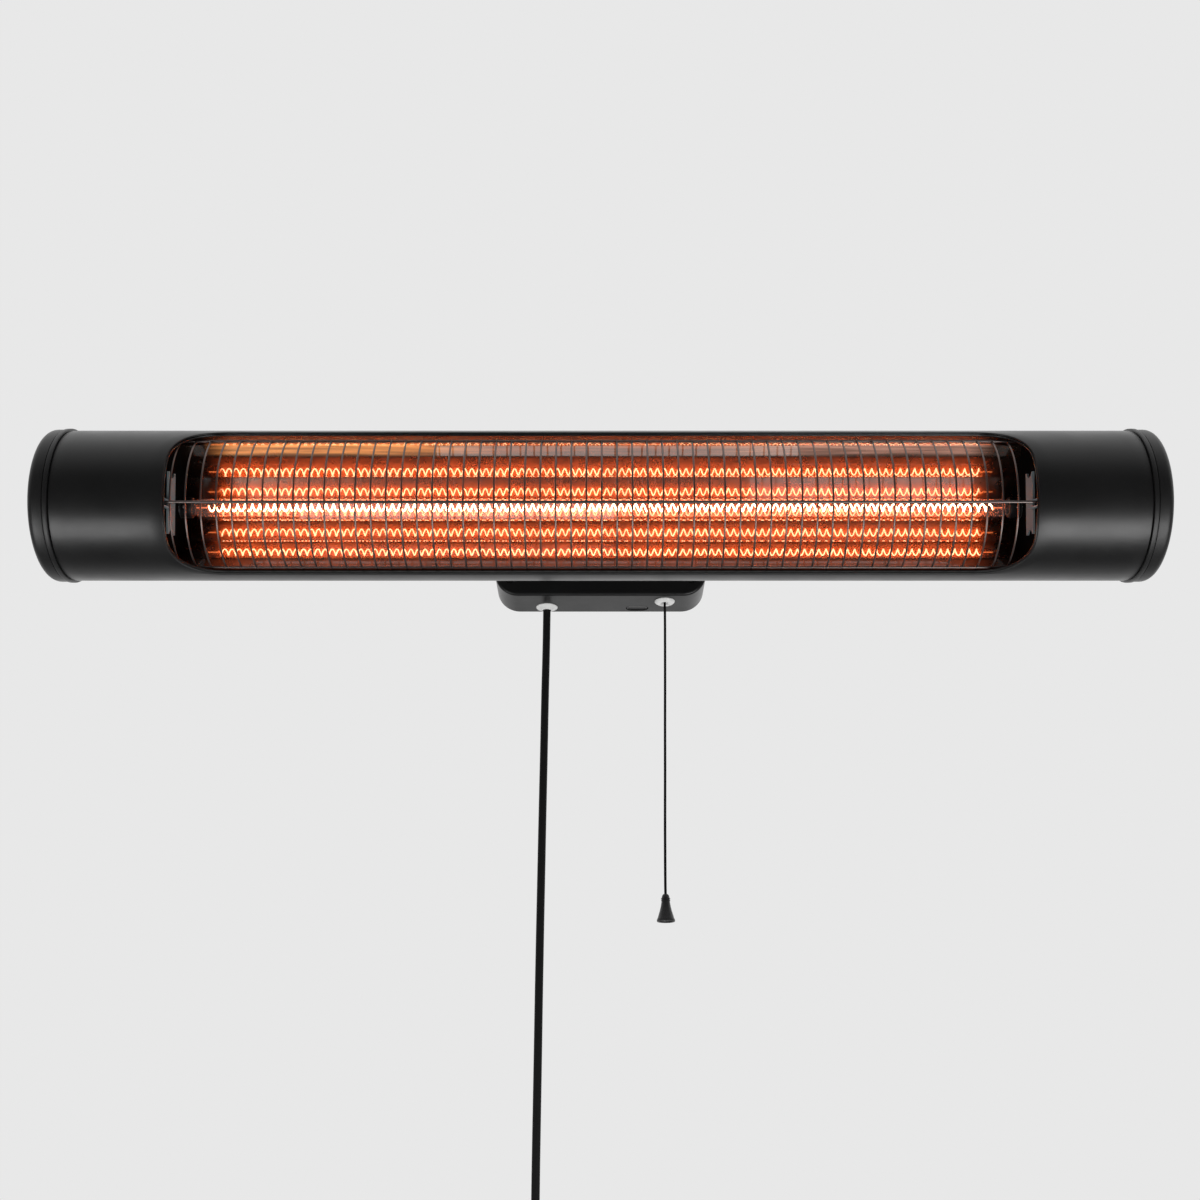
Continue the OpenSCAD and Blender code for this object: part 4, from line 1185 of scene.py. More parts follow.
def place_copies(name: str, template: Shape, marks: Sequence[tuple[Vector, Vector]], finish: Finish,
                 fate: Fate, place: Place = Place.BOX) -> Piece:
    """Copies of one small piece, joined as one finished piece.

    Args:
        name: the piece's name.
        template: the small piece about the origin, its top along +Z, in millimetres.
        marks: pairs of place and direction, in millimetres, in the frame of place.
        finish: the finish.
        fate: its body and the nodes that it replaces.
        place: the frame of the marks.

    Returns:
        The piece.
    """
    matrix = place.matrix()
    turn = matrix.to_3x3().normalized()
    placed = [(matrix @ Vector(at), turn @ Vector(facing)) for at, facing in marks]
    small = build("template", template, finish, Fate(None))
    mesh = grown_mesh(marks_mesh(placed), Growths.copies_on_marks(),
                      {"Piece": small, "Finish": finish.material()})
    bpy.data.objects.remove(small)
    return settle(as_piece(name, mesh, finish), fate)


def screw_head(r: float = 3.4, h: float = 1.8) -> Shape:
    """A pan head with a cross recess, its seat at 0 and its top along +Z.

    Args:
        r: radius of the head.
        h: its height.

    Returns:
        The shape.
    """
    steps = 24
    dome = ((r, 0), (r, 0.45 * h), (0.93 * r, 0.72 * h), (0.78 * r, 0.9 * h), (0.62 * r, h))
    shape = Shape().grid([[(radius * math.cos(t), radius * math.sin(t), z) for t in turns(steps, 0.5)]
                          for radius, z in dome], ring=True)
    rim = len(shape.points) - steps
    arm, half, floor, taper = 0.42 * r, 0.13 * r, 0.35 * h, 0.8
    cross = [(arm, -half), (arm, half), (half, half), (half, arm), (-half, arm), (-half, half),
             (-arm, half), (-arm, -half), (-half, -half), (-half, -arm), (half, -arm), (half, -half)]
    n = len(cross)
    shape.points += [Vector((x, y, h)) for x, y in cross]
    shape.points += [Vector((taper * x, taper * y, floor)) for x, y in cross]
    top, low = rim + steps, rim + steps + n
    for i in range(n):
        j = (i + 1) % n
        near = [rim + (2 * i - 1 + k) % steps for k in range(3)]
        shape.faces += [(top + i, top + j, low + j, low + i), (near[0], near[1], top + i),
                        (near[1], near[2], top + i), (near[2], top + j, top + i)]
    shape.faces += [tuple(range(low, low + n)), tuple(range(steps))[::-1]]
    return shape


# ---- camera and studio ----


@dataclass(frozen=True)
class Card:
    """A rectangular lamp that looks at a point.

    Attributes:
        name: its name.
        at: where it stands, in metres.
        target: where it looks.
        size: its width and height.
        power: its power in watts.
        step: how much narrower each of its parts is than the one before, where its ends are soft.
    """

    name: str
    at: Point
    target: Point
    size: tuple[float, float]
    power: float
    step: float = 0.0

    def make(self) -> Piece:
        """Makes the lamp, which the camera doesn't see.

        Returns:
            The lamp.
        """
        data = bpy.data.lights.new(self.name, "AREA")
        data.shape, data.size, data.size_y, data.energy = "RECTANGLE", *self.size, self.power
        lamp = bpy.data.objects.new(self.name, data)
        lamp.location = self.at
        lamp.rotation_euler = (Vector(self.target) - Vector(self.at)).to_track_quat("-Z", "Y").to_euler()
        lamp.visible_camera = False
        bpy.context.scene.collection.objects.link(lamp)
        return lamp

    def make_soft(self) -> list[Piece]:
        """Makes the lamp with soft ends, out of three that overlap.

        Returns:
            The lamps.
        """
        width, height = self.size
        widths = [width - k * self.step for k in range(3)]
        return [replace(self, name=f"{self.name}_{k}", size=(w, height),
                        power=self.power / 3 * w / width).make() for k, w in enumerate(widths)]


@dataclass
class Studio:
    """Camera, lamps, backdrop and floor.

    Attributes:
        camera_at: where the camera stands, in metres.
        camera_pitch: how far it looks up, in degrees.
        lens: focal length on a 36 mm sensor.
        backdrop: the pale colour behind the object.
        floor_z: height of a room's floor below a wall heater, in metres.
        strips: the lamps for the whole object.
        window_cards: pale cards that only the reflector's folds show.
        rim_card: the card that only the lip shows.
    """

    camera_at: Point = (-0.0005, -1.1759, -0.4976)
    camera_pitch: float = 21.26
    lens: float = 43.17
    backdrop: float = 0.807
    floor_z: float = -2.05
    strips: tuple[Card, ...] = (
        Card("left_strip", (-1.27, -0.86, -1.32), (-1.27, -0.128, -0.009), (1.1, 0.74), 14.5),
        Card("right_strip", (1.09, -0.86, -1.32), (1.09, -0.128, -0.009), (1.46, 0.74), 19.2),
        Card("low_fill", (0.14, -0.36, -1.25), (0.14, -0.11, 0.0), (0.80, 0.17), 0.85))
    window_cards: tuple[Card, ...] = (
        Card("front_card", (-0.36, -2.47, -0.55), (-0.36, -0.128, -0.009), (0.80, 0.16), 2.1, 0.10),
        Card("right_card", (1.09, -0.86, -1.32), (1.09, -0.128, -0.009), (1.62, 0.74), 8.3, 0.16),
        Card("low_card", (0.03, -0.36, -1.25), (0.03, -0.11, 0.0), (0.62, 0.17), 1.25, 0.15))
    rim_card: Card = Card("rim_card", (0.0, -1.73, 0.75), (0.0, -0.13, -0.07), (1.8, 0.3), 5.0)

    def place_camera(self) -> None:
        """Makes the camera at the photograph's angle."""
        data = bpy.data.cameras.new("camera")
        data.lens, data.sensor_width, data.clip_end = self.lens, 36.0, 100.0
        camera = bpy.data.objects.new("camera", data)
        camera.location = self.camera_at
        camera.rotation_euler = (math.radians(90 + self.camera_pitch), 0, 0)
        bpy.context.scene.collection.objects.link(camera)
        bpy.context.scene.camera = camera

    def light(self) -> None:
        """Makes the lamps and the surrounding light."""
        for card in self.strips:
            card.make()
        self._surround()

    def light_window(self, reflector: Piece, lip: Piece) -> None:
        """Makes the cards for the window.

        Args:
            reflector: the folded sheet; it shows cards in place of the last two lamps.
            lip: the lip round the window.
        """
        for card in self.strips[1:]:
            aim_light(bpy.data.objects[card.name], [reflector], lit=False)
        for lamp in [lamp for card in self.window_cards for lamp in card.make_soft()]:
            aim_light(lamp, [reflector], lit=True)
        aim_light(self.rim_card.make(), [lip], lit=True)

    def _surround(self) -> None:
        """A pale backdrop for the camera, and light that comes from above and behind."""
        world = bpy.data.worlds.new("studio")
        world.use_nodes = True
        world.node_tree.nodes.clear()
        bpy.context.scene.world = world
        g = Graph(world.node_tree)
        above_and_behind = (0.0, 0.7, 0.714)
        level = g.ramp(g.reach(g.where("Generated"), above_and_behind), -0.3, 0.7, 0.05, 1.05)
        path = g.add("ShaderNodeLightPath")
        seen = g.math("MAXIMUM", path.outputs["Is Camera Ray"], path.outputs["Is Transmission Ray"])
        shown = g.ramp(seen, 0.0, 1.0, level, self.backdrop)
        back = g.add("ShaderNodeBackground", Color=(1, 1, 1, 1), Strength=shown)
        g.add("ShaderNodeOutputWorld", Surface=back.outputs[0])

    def lay_floor(self) -> None:
        """A plain pale floor below the heater."""
        mesh = bpy.data.meshes.new("floor")
        half, z = 5.0, self.floor_z
        mesh.from_pydata([(-half, -half, z), (half, -half, z), (half, half, z), (-half, half, z)], [],
                         [(0, 1, 2, 3)])
        g, shader = blank_material("floor_paint")
        cloud = g.noise(g.where(), 3.0)
        g.feed(shader, Base_Color=g.mix(cloud, (0.80, 0.80, 0.80), (0.82, 0.82, 0.82)), Roughness=0.9)
        mesh.materials.append(FINISHED["floor_paint"])
        floor = bpy.data.objects.new("floor", mesh)
        bpy.context.scene.collection.objects.link(floor)
        floor.visible_glossy = False


# ---- cords ----


def tube_with_uv(name: str, path: Sequence[Vector], radius: float, sides: int, finish: Finish,
                 fate: Fate) -> Piece:
    """A round cord as a mesh with its own UV map: U once round, V along in diameters.

    Args:
        name: the piece's name.
        path: its centreline in millimetres.
        radius: its radius.
        sides: how many faces go round.
        finish: its finish.
        fate: its body and the nodes that it replaces.

    Returns:
        The piece.
    """
    shape = Shape().sweep(path, radius, sides, (1, 0, 0))
    run = [0.0]
    for a, b in zip(path, path[1:]):
        run.append(run[-1] + (b - a).length)
    uvs: list[tuple[float, float]] = []
    for v0, v1 in ((a / (2 * radius), b / (2 * radius)) for a, b in zip(run, run[1:])):
        for k in range(sides):
            uvs += [(k / sides, v0), ((k + 1) / sides, v0), ((k + 1) / sides, v1), (k / sides, v1)]
    uvs += [(0.0, 0.0)] * (2 * sides)
    mesh = bpy.data.meshes.new(name)
    mesh.from_pydata([p * MM for p in shape.points], [], shape.faces)
    layer = mesh.uv_layers.new(name="round_and_along")
    for i, uv in enumerate(uvs):
        layer.data[i].uv = uv
    mesh.shade_smooth()
    mesh.set_sharp_from_angle(angle=math.radians(50))
    return settle(as_piece(name, mesh, finish), fate)


@dataclass(frozen=True)
class BoxMeasures:
    """Measures of the wall box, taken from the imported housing.

    Attributes:
        half_w: half of its width.
        half_h: half of its height.
        depth: its depth.
    """

    half_w: float
    half_h: float
    depth: float

    @classmethod
    def from_frame(cls) -> "BoxMeasures":
        """Reads the housing's box."""
        low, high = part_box("box_housing")
        return cls(high.x / MM, high.z / MM, -low.y / MM)

    @property
    def underside(self) -> float:
        """Height of the underside."""
        return -self.half_h


@dataclass
class MainsLead:
    """The mains lead: from its bushing down the wall, into its coil, and on to the plug.

    Attributes:
        exit: where it leaves the bushing.
        diameter: its thickness.
        hang: points from the exit to the coil, as offsets.
        tail: points from the coil to the plug, as offsets.
        turns: turns of the coil.
        inner_r: radius of its innermost turn.
        pitch: distance between turns.
    """

    exit: Point
    diameter: float = 6.5
    hang: tuple[Point, ...] = (
        (0, 0, 0), (0, 0, -7), (-0.1, 0, -39), (-0.5, 0, -79), (-0.8, 0, -129), (-1.2, 0, -179),
        (-1.5, 0, -229), (-1.8, 0, -279), (-2, 0, -329), (-2.1, 1, -369), (-2.3, 3, -409),
        (-2.5, 5, -449), (-2.5, 6, -479), (-2.5, 6, -509), (-2.5, 6, -531))
    tail: tuple[Point, ...] = (
        (-2.5, -2.2, -567), (-2.5, -5, -579), (-2.5, -8, -591), (-2.5, -9.8, -603), (-2.5, -10, -609),
        (-2.5, -10, -614))
    turns: int = 5
    inner_r: float = 26.0
    pitch: float = 7.2

    def _from_exit(self, offset: Point) -> Vector:
        """A point given as an offset from the exit."""
        return Vector(self.exit) + Vector(offset)

    @property
    def outer_r(self) -> float:
        """Radius of the coil's outermost turn."""
        return self.inner_r + self.pitch * self.turns / 2

    @property
    def coil_start(self) -> Vector:
        """Where the lead enters the coil."""
        return self._from_exit(self.hang[-1])

    @property
    def coil_centre(self) -> Vector:
        """The middle of the coil's back layer."""
        s = self.coil_start
        return Vector((s.x + self.outer_r, s.y, s.z - self.diameter))

    @property
    def plug_at(self) -> Vector:
        """Where the lead ends in its plug."""
        return self._from_exit(self.tail[-1])

    def _coil(self, steps: int) -> list[Vector]:
        """The coil: turns inwards, a climb to the front layer, and turns outwards.

        Args:
            steps: points on a turn.

        Returns:
            Its points.
        """
        c, out = self.coil_centre, []
        middle = self.turns * 180
        for i in range(self.turns * steps + 1):
            a = 360 * i / steps
            r = self.inner_r + self.pitch * abs(a - middle) / 360
            climb = max(0.0, min(1.0, 0.5 + (a - middle) / 180))
            rise = climb * climb * (3 - 2 * climb)
            t = math.radians(a)
            out.append(Vector((c.x - r * math.cos(t), c.y - self.pitch * rise, c.z - r * math.sin(t))))
        return out

    def path(self) -> list[Vector]:
        """The lead's whole centreline.

        Returns:
            Its points.
        """
        start, c = self.coil_start, self.coil_centre
        end = Vector((start.x, start.y - self.pitch, c.z - self.diameter))
        down = smooth_path([self._from_exit(p) for p in self.hang], 4)
        tail = smooth_path([end, end - Vector((0, 0, 11))] + [self._from_exit(p) for p in self.tail], 4)
        return down + self._coil(36) + tail

    def make(self, plug: Sequence[Piece]) -> None:
        """Args:
            plug: the pieces at its far end; not used.
        """
        path = self.path()
        lead = tube_with_uv("mains_lead_sheath", path, self.diameter / 2, 16, LEAD_RUBBER,
                            Fate("wall_box", ("mains_lead", "lead_coil", "lead_tail")))

    def make_tie(self) -> Piece:
        """The strap round the top of the coil, with its overlapped end.

        Returns:
            The strap.
        """
        slack, strap, width, corner = 0.6, 1.0, 9.0, 4.0
        inner = self.inner_r - self.diameter / 2 - slack
        outer = self.outer_r + self.diameter / 2 + slack
        c = self.coil_centre
        mid_y = c.y - self.pitch / 2
        half_y = (self.pitch + self.diameter + 2 * slack) / 2 + strap
        half_z, mid_z = (outer - inner) / 2 + strap, c.z + (inner + outer) / 2

        def ring(grow: float, x: float) -> list[Vector]:
            """One rounded loop of the strap.

            Args:
                grow: how far it stands out from the strap's outside.
                x: its place across the strap.

            Returns:
                Its points.
            """
            y, z = half_y + grow, half_z + grow
            loop = rounded([(-y, -z), (y, -z), (y, z), (-y, z)], corner + grow, 6)
            return [Vector((x, mid_y + u, mid_z + v)) for u, v in loop]

        x0, x1 = c.x - width / 2, c.x + width / 2
        shape = Shape().grid([ring(-strap, x0), ring(0, x0), ring(0, x1), ring(-strap, x1)], ring=True,
                             loop=True)
        flap = [(half_y - 0.3, -half_z + 5), (half_y + 0.9, -half_z + 5.6), (half_y + 0.9, half_z - 6),
                (half_y - 0.3, half_z - 5)]
        shape.prism([(mid_y - u, mid_z + v) for u, v in flap], x0 + 0.4, x1 - 0.4, Axis.X)
        return build("coil_strap", shape, SLEEVE_RUBBER, Fate("wall_box", ("coil_tie",)), bevel=0.25)


@dataclass
class Plug:
    """A round two-pin plug hanging at the lead's end.

    Attributes:
        at: the end of the lead.
        radius: radius of its face.
        length: length below the lead's end.
        grip_from: where the flattened grip starts, below the lead's end.
        grip_to: where it ends.
        pin_x: distance of a pin from the middle.
        pin_r: radius of a pin.
    """

    at: Vector
    radius: float = 18.5
    length: float = 60.0
    grip_from: float = 20.0
    grip_to: float = 47.5
    pin_x: float = 9.5
    pin_r: float = 2.4

    def make(self) -> list[Piece]:
        """Makes the body with its grip, the ribs and the pins."""
        return [self._body(), self._ribs(), self._pins()]

    @staticmethod
    def _grip(z: float) -> float:
        """Half of the grip's thickness at a height, from the lead's end."""
        return 8.6 + 1.6 * math.cos((z + 34) / 13 * math.pi / 2)

    def _body(self) -> Piece:
        """The body, turned, with its grip pressed flat.

        Returns:
            The body.
        """
        r, end = self.radius, self.length
        profile = [(0.0, 2.0), (3.9, 2.0), (4.4, 1.4), (5.0, -18.0), (6.6, -21.0), (9.6, -25.5),
                   (11.4, -33.0), (13.4, -40.5), (17.6, -46.4), (r - 0.1, -48.2), (r, -50.0),
                   (r, 2.5 - end), (r - 0.4, 1.0 - end), (r - 1.5, 0.1 - end), (r - 3.0, -end),
                   (r - 3.5, 0.6 - end), (r - 4.1, 0.6 - end), (r - 4.6, -end), (0.0, -end)]
        rows = []
        for radius, z in profile:
            row = []
            for t in turns(72):
                x, y = radius * math.cos(t), radius * math.sin(t)
                if self.grip_from < -z < self.grip_to:
                    y = math.copysign(min(abs(y), self._grip(z)), y) if abs(y) > 1e-9 else y
                row.append(Vector((x, y, z)) + self.at)
            rows.append(row)
        return build("plug_shell", Shape().grid(rows, ring=True), PLUG_RUBBER,
                     Fate("wall_box", ("plug_body",)), sharp_deg=50)

    def _ribs(self) -> Piece:
        """The rings of the cord relief and the ridges on the grip's two faces.

        Returns:
            The ribs.
        """
        at, shape = self.at, Shape()
        for k in range(5):
            z = at.z - 2.6 - 3.6 * k
            ring = [(3.6, 1.0), (5.9, 1.0), (6.4, 0.5), (6.4, -0.5), (5.9, -1.0), (3.6, -1.0)]
            shape.lathe([(r, z + a) for r, a in ring], (at.x, at.y, 0), Axis.Z, 40)
        for side in (-1, 1):
            for k in range(4):
                z = at.z - 29.5 - 3.4 * k
                y = at.y + side * self._grip(z - at.z)
                shape.prism([(y - 0.7, z - 0.6), (y + 0.7, z - 0.6), (y + 0.7, z + 0.6), (y - 0.7, z + 0.6)],
                            at.x - 5.0, at.x + 5.0, Axis.X)
        return build("plug_ribs", shape, PLUG_RUBBER, Fate("wall_box"), bevel=0.2)

    def _pins(self) -> Piece:
        """The two round pins, their tips rounded.

        Returns:
            The pins.
        """
        r, down = self.pin_r, Vector((0, 0, -1))
        pin = Shape().lathe([(0, -10.0), (r, -10.0), (r, 14.6), (r - 0.2, 16.4), (r - 0.7, 17.6),
                             (r - 1.5, 18.8), (0, 19.2)], (0, 0, 0), Axis.Z, 28)
        marks = [(self.at + Vector((side * self.pin_x, 0, -self.length)), down) for side in (-1, 1)]
        return place_copies("plug_prongs", pin, marks, PIN_BRASS, Fate("wall_box", ("plug_pins",)))


@dataclass
class PullCord:
    """The pull cord with its small bell knob.

    Attributes:
        exit: where it leaves the switch.
        diameter: its thickness.
        fuzz: how much further out the braid stands.
        hang: points down to the knob, as offsets.
    """

    exit: Point
    diameter: float = 1.9
    fuzz: float = 0.1
    hang: tuple[Point, ...] = (
        (0, 0, 0), (0, 0, -15), (0, 0, -24), (0, 0, -32), (-0.2, 0, -50), (-0.8, 0, -90),
        (-1.5, 0, -130), (-2.1, 0, -170), (-2.8, 0, -210), (-3.2, 0, -240), (-3.4, 0, -260),
        (-3.4, 0, -270))

    def make(self) -> None:
        """Makes the cord and its knob."""
        start = Vector(self.exit)
        path = smooth_path([start + Vector(p) for p in self.hang], 6)
        end = tuple(path[-1])
        bell = [(0, 0.4), (1.5, 0.4), (2.1, 0.0), (2.7, -0.8), (3.1, -2.2), (3.4, -6.0), (4.0, -9.6),
                (4.8, -12.8), (5.8, -16.0), (6.5, -18.4), (7.1, -19.6), (7.3, -20.6), (7.1, -21.3),
                (6.6, -21.4), (5.8, -20.9), (5.0, -19.6), (3.6, -17.6), (0, -17.0)]
        shape = Shape().lathe(bell, end, Axis.Z, 48)
        for z in (-3.4, -4.8):
            ring = [(3.1, z + 0.35), (3.7, z + 0.25), (3.7, z - 0.25), (3.1, z - 0.35)]
            shape.lathe(ring, end, Axis.Z, 48)
        knob = build("pull_bell", shape, KNOB_PLASTIC, Fate("pull", ("pull_knob",)), sharp_deg=50)
        cord = tube_with_uv("pull_cord_braid", path, self.diameter / 2 + self.fuzz, 12, CORD_BRAID,
                            Fate("pull", ("pull_cord",)))


# ---- wall box ----


@dataclass
class WallBox:
    """The box on the wall with its bushings, plate, switch and wires.

    Attributes:
        size: measures of the box.
        lead_at: place of the lead's bushing across and out.
        cord_at: place of the cord's bushing.
        blank_at: place of the blanking plug.
        post_in: how far the cover screws stand in from the sides.
        lead_ring: section of the lead's thin bushing, as radius and height from the underside.
        cord_ring: section of the cord's dished bushing.
        blank_len: length of the oval plug.
        blank_r: half of its width.
        blank_loops: its dished section, as inset from its rim and height from the underside.
    """

    size: BoxMeasures
    lead_at: tuple[float, float] = (-46.5, -11.0)
    cord_at: tuple[float, float] = (55.0, -25.0)
    blank_at: tuple[float, float] = (31.7, -8.2)
    post_in: tuple[float, float] = (12.5, 14.0)
    lead_ring: Outline = (
        (3.5, 6), (3.5, -2.9), (3.65, -3.2), (4.2, -3.3), (4.7, -3.1), (5.3, -2.4), (6.1, -1.7), (7.0, -1.3),
        (8.2, -1.15), (8.8, -0.95), (9.2, -0.5), (9.3, -0.05), (9.3, 0), (6.0, 0), (6.0, 2.8), (7.0, 2.9),
        (6.1, 6))
    cord_ring: Outline = (
        (1.6, 4), (1.6, 0.2), (1.9, -0.5), (2.5, -1.1), (3.2, -1.8), (3.9, -2.3), (4.6, -2.45), (5.8, -2.4),
        (7.0, -2.05), (7.9, -1.4), (8.5, -0.7), (8.7, -0.1), (8.7, 0), (6.0, 0), (6.0, 2.8), (7.0, 2.9),
        (6.0, 4))
    blank_len: float = 19.2
    blank_r: float = 5.6
    blank_loops: Outline = (
        (0, 2.6), (0, 1.5), (0.5, 1.4), (0.55, 0.5), (0.75, 0.3), (1.1, 0.3), (1.4, 0.5), (2.6, 0.75))

    def make(self, nodes: dict[str, Piece]) -> None:
        """Makes the box's own pieces and dresses the nodes that stay.

        Args:
            nodes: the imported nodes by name.
        """
        self._bushing("lead", self.lead_at, self.lead_ring)
        self._bushing("cord", self.cord_at, self.cord_ring)
        self._blank()
        self._screws()
        dress_nodes(nodes, {
            "box_housing": BOX_PLASTIC, "wall_plate": ZINC_STEEL, "lead_clamp": INNER_PLASTIC,
            "terminal_block": INNER_PLASTIC, "inner_wires": WIRE_COVER, "switch_body": INNER_PLASTIC,
            "return_spring": ZINC_STEEL, "switch_plunger": INNER_PLASTIC})

    def _bushing(self, name: str, at: tuple[float, float], ring: Outline) -> None:
        """A bushing in the underside.

        Args:
            name: the start of its name.
            at: its place across and out.
            ring: its section.
        """
        shape = Shape().lathe([(r, self.size.underside + h) for r, h in ring], (*at, 0), Axis.Z, 72)
        build(f"{name}_bushing_ring", shape, BUSHING_NYLON, Fate("wall_box", (f"{name}_bushing",)),
              sharp_deg=60)

    def _blank(self) -> None:
        """The oval plug, dished a little and sunk in the underside."""
        x, y = self.blank_at
        half = self.blank_len / 2 - self.blank_r
        rows = []
        for inset, height in self.blank_loops:
            r = self.blank_r - inset
            rows.append([Vector((x + math.copysign(half, math.cos(t)) + r * math.cos(t), y + r * math.sin(t),
                                 self.size.underside + height)) for t in turns(48, 0.5)])
        build("blank_plug", Shape().grid(rows, ring=True, ends=True), BOX_PLASTIC,
              Fate("wall_box", ("blanking_plug",)), sharp_deg=50)

    def _screws(self) -> None:
        """Cover screws in their counterbores and the screws of the fork."""
        front = Vector((0, -1, 0))
        px, pz = self.size.half_w - self.post_in[0], self.size.half_h - self.post_in[1]
        cover_y, fork_y = 1.2 - self.size.depth, -2.5 - self.size.depth
        corners = [(sx, sz) for sx in (-1, 1) for sz in (-1, 1)]
        covers = [(Vector((sx * px, cover_y, sz * pz)), front) for sx, sz in corners]
        forks = [(Vector((sx * 20, fork_y, PIVOT_Z + sz * 11)), front) for sx, sz in corners]
        for name, marks, finish, node in (("cover_screws", covers, BULKHEAD_COAT, "housing_screws"),
                                          ("fork_screw_heads", forks, BLACK_STEEL, "fork_screws")):
            place_copies(name, screw_head(), marks, finish, Fate("wall_box", (node,)))


# ---- tilt mount ----


@dataclass
class TiltMount:
    """Fork, yoke, knobs and the supply's hose between box and head.

    Attributes:
        size: measures of the wall box.
        knob_r: radius of a hand knob.
        knob_x: where a knob starts, out from the middle.
        knob_section: a knob's section, as share of its radius and distance out.
        flutes: number of a knob's flutes.
        flute_depth: their depth.
        hose_r: radius of the hose.
        rib: height of its ribs.
        rib_pitch: distance between them.
    """

    size: BoxMeasures
    knob_r: float = 10.0
    knob_x: float = 42.6
    knob_section: Outline = (
        (0.0, 0.0), (0.68, 0.0), (0.70, 0.3), (0.70, 1.8), (0.94, 2.0), (0.99, 2.5), (1.0, 3.2), (1.0, 7.4),
        (0.97, 8.3), (0.90, 8.8), (0.78, 9.0), (0.50, 8.7), (0.46, 8.2), (0.0, 8.2))
    flutes: int = 10
    flute_depth: float = 0.95
    hose_r: float = 4.6
    rib: float = 0.85
    rib_pitch: float = 2.9

    def make(self, nodes: dict[str, Piece]) -> None:
        """Makes the mount's own pieces and dresses the nodes that stay.

        Args:
            nodes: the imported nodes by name.
        """
        self._knobs()
        self._hose()
        self._yoke_screws()
        dress_nodes(nodes, {"wall_fork": BRACKET_COAT, "tilt_yoke": BRACKET_COAT, "pivot_bolts": ZINC_STEEL,
                            "friction_washers": WASHER_FIBRE})

    def _knobs(self) -> None:
        """Fluted knobs with a domed face, one on each pivot bolt."""
        shape = Shape()
        for side in (-1, 1):
            rows = []
            for share, along in self.knob_section:
                row = []
                for t in turns(120):
                    dent = 0.0
                    if share > 0.75:
                        dent = self.flute_depth * max(0.0, math.cos(self.flutes * t)) ** 1.6
                    r = max(0.0, share * self.knob_r - dent)
                    row.append(Vector((side * (self.knob_x + along), PIVOT_Y + r * math.cos(t),
                                       PIVOT_Z + r * math.sin(t))))
                rows.append(row)
            shape.grid(rows, ring=True)
        build("hand_knobs", shape, KNOB_PLASTIC, Fate("wall_box", ("tilt_knobs",)), sharp_deg=45)

    def _hose(self) -> None:
        """One ribbed hose from the box over the pivot into the tube."""
        front, pivot = -self.size.depth, PIVOT_Y + 3.5
        start = front - 3
        route = [Vector((0, y, PIVOT_Z)) * MM for y in (front + 1, start, (start + pivot) / 2, pivot)]
        route += [Place.HEAD.matrix() @ Vector((0, y, 0)) for y in (72.5, 68.0, 64.0, 59.0)]
        fine = smooth_path(route, 6)
        line = bpy.data.meshes.new("hose_line")
        line.from_pydata(fine, [(i, i + 1) for i in range(len(fine) - 1)], [])
        grown = grown_mesh(line, Growths.ribbed_hose(), {
            "Radius": self.hose_r * MM, "Rib": self.rib * MM, "Pitch": self.rib_pitch * MM,
            "Finish": SLEEVE_RUBBER.material()})
        hose = settle(as_piece("supply_hose", grown, SLEEVE_RUBBER),
                      Fate(None, ("supply_sleeve", "sleeve_collar")))
        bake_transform(hose)
        self._collar("hose_collar_box", -1, (0, front, PIVOT_Z), "wall_box", Place.BOX)
        self._collar("hose_collar_head", 1, (0, 62.2, 0), "head", Place.HEAD)

    def _collar(self, name: str, way: int, at: Point, body: str, place: Place) -> None:
        """A rubber collar round the hose's end.

        Args:
            name: its name.
            way: 1 where it stands towards +Y of its frame, -1 where it stands the other way.
            at: the middle of its seat.
            body: the body that it rides on.
            place: its frame.
        """
        section = [(4.9, 0), (7.4, 0), (7.5, 0.4), (7.5, 2.0), (7.0, 2.5), (4.9, 2.5)]
        ring = Shape().lathe([(r, way * a) for r, a in section], at, Axis.Y, 48)
        build(name, ring, SLEEVE_RUBBER, Fate(body), place)

    def _yoke_screws(self) -> None:
        """The screws that hold the yoke's saddle on the tube."""
        saddle_r = TUBE_R + 2.1
        angles = [math.radians(180 + side * 15) for side in (-1, 1)]
        marks = [(on_tube(x, a, saddle_r), on_tube(0, a, 1)) for x in (-20, 20) for a in angles]
        place_copies("saddle_screw_heads", screw_head(), marks, BLACK_STEEL, Fate("head", ("yoke_screws",)),
                     Place.HEAD)


# ---- heater head ----


